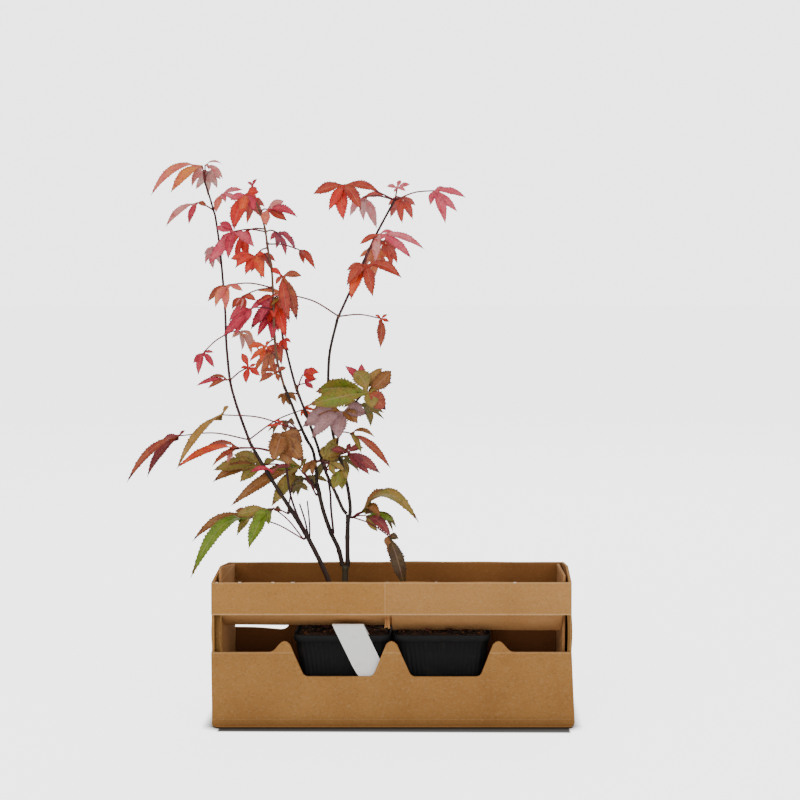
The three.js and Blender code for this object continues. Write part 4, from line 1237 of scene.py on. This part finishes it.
# Each mass goes on from a limb's tip or side. A shown leaf: the place on the mass's stem, the hub to
# the right, back and up of it, the lean of its face, its tint, its tips right and up of the hub, and
# where it isn't as wide or as arched as most, both as a share of that.
# A grown leaf has its blade's length, heading, droop and lean in place of the tips.
masses = [
    {
        "name": "left_crown", "from": "left_stem", "radii": (1.2, 0.65), "slot": "coral_leaf",
        "path": [
            (-145.6, 5, 278.5), (-151.6, 7, 295.4), (-156.6, 9, 314.3), (-159.8, 11, 341.9),
            (-160.9, 12, 358.1), (-162, 13, 384.9), (-166.7, 16, 435.6), (-171.4, 18, 468.3),
            (-173.7, 18.5, 477), (-177.6, 19, 490.4), (-182.3, 20, 503.9),
        ],
        "shown": [
            (0.15, (-64, -12, 5), 55, "wine",
             [(-43, -41, "brick"), (-26, -37), (-16, -5), (5, 5)], (0.95, 1.2)),
            (0.15, (50, 9, 28), 60, "flame", [(12, -1), (10, -7), (5, -9), (-1, -7), (8, 4)], slim),
            (3, (-1, -4, 1), 42, "brick", [(-30, -6, "crimson"), (-20, 1), (-18, -8)], slim),
            (3, (19, -8, 13), 60, "scarlet", [(-8, 13), (-8, -1), (12, -8), (-1, -15), (7, 3)]),
            (5, (-20, -8, -17), 60, "crimson", [(-3, -21), (12, -14), (10, 0), (-9, -10)]),
            (11, (-2, -2, 16), 48, "coral",
             [(-44, -31), (-25, -28, "amber"), (-7, -22, "dusk")], (1.1, 1.5)),
            (11, (0, 3, 17), 40, "dusk", [(17, 0), (20, -15), (5, -6)], (0.8, 1.4)),
            (9, (7, 6, 16), 50, "pink", [(20, 4), (5, -9), (-3, -19, "coral"), (15, -8)]),
            (9, (-15, -6, 7), 50, "crimson", [(-26, -24, "dusk"), (-4, -22), (11, -4, "brick")]),
        ],
        "grown": [
            (5, (10, 22, 2), 28, 50, 40, 0, "coral"),
            (11, (0, 20, 12), 25, 100, 40, 0, "dusk"),
            (7, (-8, 18, 6), 22, 120, 50, 0, "pink"),
        ],
    },
    {
        "name": "tall_crown", "from": "tall_bough", "radii": (1, 0.8), "slot": "scarlet_leaf",
        "path": [
            (-40.2, -18, 398.9), (-28.4, -20, 424.2), (-22.4, -21, 437.3), (-14.9, -22, 453.2),
            (0.4, -24, 481.2), (2.4, -24, 484),
        ],
        "shown": [
            (0.1, (-46, 16, 20), 20, "gold", [(-33, -10, "flame"), (-20, -3), (-18, -11)], slim),
            (0.1, (40, -6, -2), 60, "scarlet", [(-6, 3), (6, 4), (8, -3), (-2, -5), (0, -27, "brick")]),
            (3, (-2, -20, -13), 60, "rust",
             [(-17, -6), (-12, -33, "flame"), (8, -30), (34, -13), (-16, -20)], full),
            (3, (11, -18, 15), 55, "rose",
             [(-18, -10, "rust"), (-3, -27, "dusk"), (30, -23), (42, -15, "pink"), (13, 2)], (0.9, 1.0)),
            (6, (-47, -8, 14), 60, "rust",
             [(-28, -9), (1, -34, "scarlet"), (33, -7), (-13, -25, "scarlet"), (17, -24)],
             full),
            (6, (-31, 16, 4), -60, "pink", [(-13, -18), (12, -29), (21, 2, "scarlet"), (0, -22)]),
            (6, (36, -14, 8), 60, "rose", [(30, -7), (11, -31), (22, -20), (-3, -14), (12, 2)]),
            (6, (2, 0, 11), 60, "pink", [(-10, 2), (12, 4), (3, 8), (-3, -4), (8, -3)]),
        ],
        "grown": [
            (6, (4, 28, 4), 26, 90, 45, 0, "scarlet"),
            (3, (4, 28, 2), 30, 100, 45, 0, "flame"),
            (3, (12, 24, 10), 30, 60, 50, 0, "scarlet"),
        ],
    },
    {
        "name": "red_crown", "from": "red_bough", "radii": (1.1, 0.7), "slot": "scarlet_leaf", "twig": 2,
        "path": [
            (-106.5, -8, 322.2), (-109.7, -9, 335.5), (-111.6, -9, 354.4), (-112.4, -10, 381.8),
            (-113.3, -10, 402.5), (-114.2, -11, 419.5), (-117.8, -12, 440.2), (-119.7, -12, 455.2),
            (-122.4, -13, 466.5), (-127.1, -13, 479.7), (-131.7, -14, 489),
        ],
        "shown": [
            (1, (-2, -14, 1), 60, "brick", [(-13, 2), (-16, -9), (9, 5), (-2, 9), (3, -8)]),
            (3, (-6, -18, -6), 60, "flame", [(-17, -2), (-14, -14), (-4, -15), (6, -4), (2, 5)]),
            (4, (-19, -14, 2), 60, "crimson",
             [(-24, -26), (-13, -25), (-4, -14), (-20, -12), (8, 2, "rose")], full),
            (5, (-40, -12, 3), 60, "coral", [(-18, -16, "brick"), (0, -24), (14, -6), (-10, -21)]),
            (5, (-28, -7, -8), 60, "rust", [(-8, -12), (4, -15), (14, -4), (-2, -16, "dusk")], full),
            (6, (13, -24, -6), 65, "scarlet",
             [(9, -43, "rust"), (15, -41, "brick"), (-11, 7), (-6, -8, "rust"), (18, 0, "brick")],
             (1.1, 1.0)),
            (7, (-8, -24, -8), 60, "scarlet",
             [(-23, -3), (-8, -18), (10, -21, "flame"), (-18, -12), (8, 2)], full),
            (7.2, (29, 10, -5), 50, "rust", [(17, -19), (4, -4), (6, -14)], (0.9, 1.2)),
            (8, (-28, -12, 0), 65, "crimson",
             [(-17, 4, "rose"), (-14, 8), (-12, -17), (-21, -31, "rose"), (20, -15, "rose"), (-3, -26)],
             full),
            (9.5, (9, -20, 2), 60, "dusk",
             [(29, -8, "crimson"), (15, 8), (1, -16, "coral"), (19, -11, "rust")], full),
            (11, (-3, -22, 0), 60, "scarlet",
             [(-14, -6, "rose"), (12, 2), (12, -7), (9, -17, "crimson"), (-8, -34), (-2, -20, "flame")],
             (1.45, 1.0)),
            (11, (0, -1, 8), 60, "crimson", [(-5, 5), (4, 8), (5, -3), (-3, -4)]),
        ],
        "grown": [
            (8.2, (-22, 16, -2), 34, 235, 60, 10, "scarlet"),
            (2, (-8, 26, 4), 28, 130, 40, 0, "flame"),
            (6, (-10, 24, 16), 26, 110, 50, 0, "scarlet"),
            (8, (8, 26, 0), 26, 60, 45, 0, "crimson"),
            (10.5, (-4, 24, 2), 26, 120, 40, 0, "scarlet"),
        ],
    },
    {
        "name": "inner_crown", "from": "inner_bough", "radii": (1.1, 0.8), "slot": "scarlet_leaf",
        "path": [
            (-92.7, 9, 304.8), (-97.6, 10, 320.9), (-103.4, 11, 343.8), (-106.4, 12, 354.3),
            (-111.3, 13, 384.9), (-114.1, 13, 393.5),
        ],
        "shown": [
            (1, (6, -5, 15), 50, "crimson", [(16, 2, "scarlet"), (12, -5, "scarlet"), (9, 4)], broad),
            (1.2, (8, 3, 3), 50, "crimson", [(12, 4), (9, -5), (4, 4)], broad),
            (0.8, (-12, -7, 2), 60, "bronze", [(0, -12), (12, -9), (-7, -6), (5, -12)]),
            (4, (1, -7, 0), 60, "scarlet", [(4, -11), (-3, -10), (8, -4)]),
            (5.3, (0, -6, 1), 65, "scarlet",
             [(-22, -27, "crimson"), (-6, -24), (1, -22), (12, -35), (17, -8, "rust"), (-16, 2, "rust")],
             full),
            (4.7, (-6, -12, 0), 60, "crimson",
             [(-12, -20), (2, -24), (-18, -8), (8, -16, "scarlet"), (14, -4, "scarlet")]),
            (5, (-4, -16, 8), 60, "rose",
             [(-20, -12, "crimson"), (-9, -24), (3, -20, "scarlet"), (13, -12, "rust")]),
            (6, (9, 8, 3), 42, "amber", [(-27, 3), (-14, -3)], slim),
        ],
        "grown": [
            (3, (-8, 16, 4), 30, 130, 45, 0, "scarlet"),
        ],
    },
    {
        "name": "side_shoot", "from": "left_stem", "at": 3.3, "toward": (0.3, -1, 0.3),
        "radii": (1, 0.7), "slot": "bronze_leaf",
        "path": [
            (-87.5, -4, 180), (-91.4, -5, 188.5), (-97.3, -6, 206.6), (-100, -7, 224.7),
            (-101.9, -8, 243.8), (-102.7, -8, 265.6),
        ],
        "shown": [
            (7, (-1, -12, 2), 60, "bronze",
             [(22, -26), (-6, -26), (9, -30), (20, -9), (-8, -11)], (2.0, 1.0)),
            (6, (-42, -6, 9), 35, "brick",
             [(-54, -16, "flame"), (-23, -16), (-36, -3), (-12, -4)], (0.95, 1.2)),
            (6, (-50, -9, 8), 60, "dusk", [(-2, -13), (2, -9)], slim),
            (5.5, (-12, -8, -2), 60, "crimson", [(-22, -3), (20, 1, "wine")], slim),
            (5.5, (-24, 16, -1), 50, "olive",
             [(-30, 9), (-47, -15, "bronze"), (-47, -4), (10, 5), (-20, -14)], (1.6, 1.0)),
        ],
    },
    {
        "name": "foot_spray", "from": "left_stem", "at": 3.1, "toward": (-1, -0.4, 0.5),
        "radii": (1, 0.8), "slot": "olive_leaf",
        "shown": [
            (1, (-51, 10, 19), 55, "bronze",
             [(-54, -21, "bronze"), (-50, -50, "green"), (-16, 6), (-12, -16, "olive"), (6, 4)],
             (1.2, 2.0)),
        ],
        "grown": [
            (1, (-30, 20, 26), 26, 150, 15, 0, "olive"),
        ],
    },
    {
        "name": "knee_spray", "from": "left_stem", "at": 3.97, "toward": (-1, -0.2, 0.6),
        "radii": (1, 0.8), "slot": "olive_leaf",
        "shown": [
            (1, (-16, -22, 8), 60, "green",
             [(-15, -34), (-30, -6, "olive"), (2, -14), (-13, -15)], (1.4, 1.0)),
        ],
        "grown": [
            (1, (2, 24, 24), 28, 95, 12, 0, "olive"),
        ],
    },
    {
        "name": "stub_spray", "from": "middle_stem", "at": 3.6, "toward": (-1, 0.6, 0.6),
        "radii": (1, 0.8), "slot": "bronze_leaf",
        "shown": [
            (1, (-20, 26, 23), 50, "brick",
             [(-60, -33, "bronze"), (-22, -34, "olive"), (-38, -10), (-8, -10)], (1.35, 1.0)),
            (1, (-16, 16, 24), 50, "olive", [(-28, 6), (-30, -3, "green"), (-14, -9), (5, 8)]),
        ],
        "grown": [
            (1, (-14, 31, 12), 40, 105, 15, 0, "olive"),
        ],
    },
    {
        "name": "right_spray", "from": "right_stem", "at": 1.9, "toward": (1, -0.2, 0.3),
        "radii": (1, 0.8), "slot": "bronze_leaf",
        "shown": [
            (1, (8, -6, 6), 25, "bronze", [(56, -7, "olive"), (36, 8), (20, -6)], (1.5, 3.0)),
            (1, (12, 4, 1), 55, "olive", [(28, -5, "green"), (25, -18, "wine"), (12, -14)], (1.1, 1.0)),
            (1, (34, -8, -16), 70, "umber",
             [(16, -48), (9, -28, "bronze"), (-2, -9, "bronze"), (10, -3)], (1.5, 1.3)),
        ],
        "grown": [
            (1, (18, 18, 3), 32, 45, 25, 0, "olive"),
        ],
    },
    {
        "name": "centre_shoot", "from": "middle_stem", "at": 2.05, "toward": (0.6, -0.8, 0.2),
        "radii": (1, 0.8), "slot": "olive_leaf",
        "path": [(-58.9, -7, 192.7), (-59.8, -8, 210.8), (-63.5, -9, 230.8), (-67.2, -9, 238.3)],
        "shown": [
            (4.5, (22, -6, 13), 60, "wine", [(22, -20), (32, -19), (16, 4), (3, 8), (-16, 2)], (1.1, 1.0)),
            (5, (1, -4, 3), 60, "olive", [(14, 20), (23, 9), (4, 12), (16, 2)], broad),
            (4, (14, -6, 2), 65, "moss", [(-6, -18), (2, -19), (7, -10, "olive")], broad),
            (4, (4, -6, 8), 60, "olive", [(15, -8), (8, 6), (6, -12)]),
            (5, (-10, -4, 2), 60, "bronze", [(-8, -12), (2, -14), (6, -6)]),
        ],
        "grown": [
            (4, (-4, 26, 6), 34, 110, 20, 20, "olive"),
            (5, (14, 22, 2), 34, 80, 30, 10, "olive"),
        ],
    },
    {
        "name": "centre_fan", "from": "tall_bough", "at": 4, "toward": (0.5, -0.8, 0.2),
        "radii": (1, 0.7), "slot": "olive_leaf",
        "path": [(-50.5, -12, 266.5), (-45, -16, 278.7), (-37.4, -18, 292), (-30.5, -18, 301)],
        "shown": [
            (5, (8, -14, 5), 60, "olive",
             [(-54, -11, "moss"), (-49, 0, "moss"), (-13, 19), (21, 19, "bronze"), (5, -15),
              (17, -16, "brick"), (10, -1)],
             (2.1, 1.0)),
            (5, (4, 4, 8), 60, "gold",
             [(16, 18), (26, 4, "olive"), (-4, 22, "crimson"), (-20, 20, "crimson")], (1.1, 1.0)),
            (3, (-2, -10, 9), 60, "mauve",
             [(-30, -2, "bronze"), (-36, -14), (-27, -24), (-2, -25), (23, -3), (15, -11, "bronze")],
             (1.8, 1.0)),
            (2, (10, -4, 0), 35, "bronze", [(40, -29, "brick"), (24, -4), (12, -18, "olive")], (0.8, 1.5)),
        ],
        "grown": [
            (4, (6, 22, 0), 38, 70, 25, 10, "olive"),
        ],
    },
    {
        "name": "gold_spray", "from": "red_bough", "at": 3.5, "toward": (-1, -0.4, 0.3),
        "radii": (0.9, 0.7), "slot": "bronze_leaf",
        "shown": [
            (1, (-70, -8, 16), 55, "gold", [(-36, -47), (5, 8)], (0.9, 1.9)),
            (1, (-11, -13, 7), 30, "scarlet", [(-18, -2), (-12, 3)], slim),
        ],
        "grown": [
            (1, (-12, 14, 8), 26, 140, 20, 0, "bronze"),
        ],
    },
]


barks = {  # dark and light tone, and for the trunk the height under which it is green
    "bud scar": ("5c3a2c", "7a5c40"),
    "green trunk": ("3c3424", "4a4a2c", 118),
    "dark bark": ("24150f", "3c2a20"),
    "left stem bark": ("281a14", "46322a"),
    "red bark": ("34191c", "4c2826"),
    "young red bark": ("6a3a36", "80603e"),
    "leaf stalk": ("64222a", "803834"),
}

# Each limb has its radius at foot and tip, its knots as shares of its length, and any dead stubs
stems = [
    {
        "name": "trunk", "bark": "green trunk", "radii": (3.0, 2.7), "knots": [0.42, 0.96], "flare": 3.2,
        "points": [(-47, 0, ground), (-47, 0, 100), (-46.4, 0, 120), (-46.2, 0, 139)],
    },
    {
        "name": "left_stem", "bark": "left stem bark", "radii": (2.4, 1.3),
        "knots": [0.24, 0.46, 0.57, 0.78, 0.99],
        "points": [
            (-57.5, 8, ground), (-59.5, 7, 100), (-62.7, 4, 124.4), (-80.5, 2, 162.8),
            (-97.5, 1, 191.5), (-112.7, 1, 215.2), (-127.1, 2, 238.8), (-136.2, 3, 254.2),
        ],
        "stubs": [
            ([(-81, 3, 163), (-84.5, 4.5, 180), (-90, 5, 197)], 1),
            ([(-80, 2.5, 163), (-80.5, 3.5, 180), (-82.6, 4, 200)], 0.9),
        ],
    },
    {
        "name": "middle_stem", "bark": "dark bark", "radii": (2, 1.6), "knots": [0.2, 0.5, 0.9],
        "points": [
            (-48.9, -0.6, 140.2), (-52.8, -1, 155.8), (-59.4, -1, 170), (-66.8, -3, 192.1),
            (-72.4, -4, 217.5),
        ],
        "stubs": [([(-70.5, -3.6, 209), (-75, -5, 216), (-78, -6, 221.5)], 1.4)],
    },
    {
        "name": "right_stem", "bark": "dark bark", "radii": (2, 1.8), "knots": [0.1, 0.55, 0.95],
        "points": [(-43.9, 0.6, 139.4), (-44.2, 1, 163), (-43.5, 2, 187.2)],
    },
    {
        "name": "tall_bough", "bark": "dark bark", "radii": (1.5, 1),
        "knots": [0.05, 0.3, 0.45, 0.62, 0.99],
        "points": [
            (-41.8, 1.4, 187.6), (-41.6, 1.5, 196), (-44.3, 0, 215.4), (-50.8, -2, 240.3),
            (-55.4, -4, 255.7), (-58.4, -6, 271), (-62, -8, 290), (-61.5, -10, 305.4),
            (-59.7, -13, 340.4), (-52.1, -16, 373),
        ],
    },
    {
        "name": "inner_bough", "bark": "dark bark", "radii": (1.4, 1.1), "knots": [0.3, 0.62, 0.98],
        "points": [
            (-45.8, 2.8, 188.6), (-49.3, 3.3, 193.4), (-55.5, 4, 207.2), (-63.7, 5, 224.2),
            (-70.4, 6, 243.1), (-73.8, 6, 254.5), (-84.5, 8, 283.9),
        ],
    },
    {
        "name": "red_bough", "bark": "dark bark", "radii": (1.3, 1.1), "knots": [0.12, 0.5, 0.98],
        "points": [
            (-72.6, -4, 217.9), (-73.3, -4, 230.1), (-76.1, -5, 248.2), (-82.7, -5, 260.5),
            (-90.2, -6, 277.7), (-95.7, -7, 291.9), (-103.2, -8, 310.5),
        ],
    },
]


def makePlant():
    looks = {name: barkLook(name, *settings) for name, settings in barks.items()}
    limbs = {row["name"]: makeLimb(row, looks[row["bark"]]) for row in stems}
    for k, mass in enumerate(masses):
        growMass(mass, limbs, random.Random(leaf["seed"] + k))
    twigLooks = [looks[name] for name in ("red bark", "bud scar", "young red bark")]
    addPiece("twigs", twigs.mesh("twigs"), twigLooks, "bark")
    addPiece("leaf_stalks", stalks.mesh("leaf_stalks"), [looks["leaf stalk"]], "bark")
    print("plant made")


def makeFloor():
    # seen directly, the floor is as bright as the backdrop, with painted shade where something stands on
    # it and a painted shadow strip before the planter's front wall
    finish = Finish("pale floor", 0.9, 0.0)
    contactShade = studio["contactShade"]
    seen = finish.node("ShaderNodeLightPath", {}, {}, "Is Camera Ray")
    clear = finish.node("ShaderNodeAmbientOcclusion", {"samples": 8}, {"Distance": contactShade["reach"]}, "AO")
    x, y = finish.place("X"), finish.place("Y")
    fade = contactShade["fade"] * mm
    left, right, back = (contactShade[key] * mm for key in ("left", "right", "back"))
    # a painted shadow strip along the front wall's foot, faded at its edges
    front = contactShade["front"] * mm - (x - left) * contactShade["slant"]
    inside = ((x - left) / fade).clamped() * ((right - x) / fade).clamped()
    inside = inside * ((y - front) / (contactShade["frontFade"] * mm)).clamped() * ((back - y) / fade).clamped()
    # painted shade: occlusion and the strip darken the floor's colour and its glow
    share = (clear ** contactShade["depth"]) * (1 - inside * contactShade["share"])
    finish.feed("Base Color", finish.blend((0.04, 0.035, 0.03, 1), (0.86, 0.86, 0.86, 1), share))
    finish.feed("Emission Color", finish.blend((0, 0, 0, 1), (1, 1, 1, 1), seen * share))
    finish.shader.inputs["Emission Strength"].default_value = studio["backdrop"] - studio["floorGain"]
    shape = bmesh.new()
    bmesh.ops.create_circle(shape, cap_ends=True, radius=studio["floorRadius"], segments=64)
    mesh = bpy.data.meshes.new("floor")
    shape.to_mesh(mesh)
    shape.free()
    mesh.materials.append(finish.material)
    floor = bpy.data.objects.new("floor", mesh)
    floor.location.z = -0.0004
    bpy.context.scene.collection.objects.link(floor)


makeCamera()
makeStudio()
makeFloor()
makePlanter()
plastic = potLook()
compost = soilLook("moist compost", "20130d", "3a2418")
for prefix, middle in zip(("", "right_"), pot["middles"]):
    makePot(prefix, middle, plastic)
    makeSoil(prefix, middle, compost)
makeLabel()
makeChips(random.Random(41))
makePlant()

bpy.context.view_layer.update()
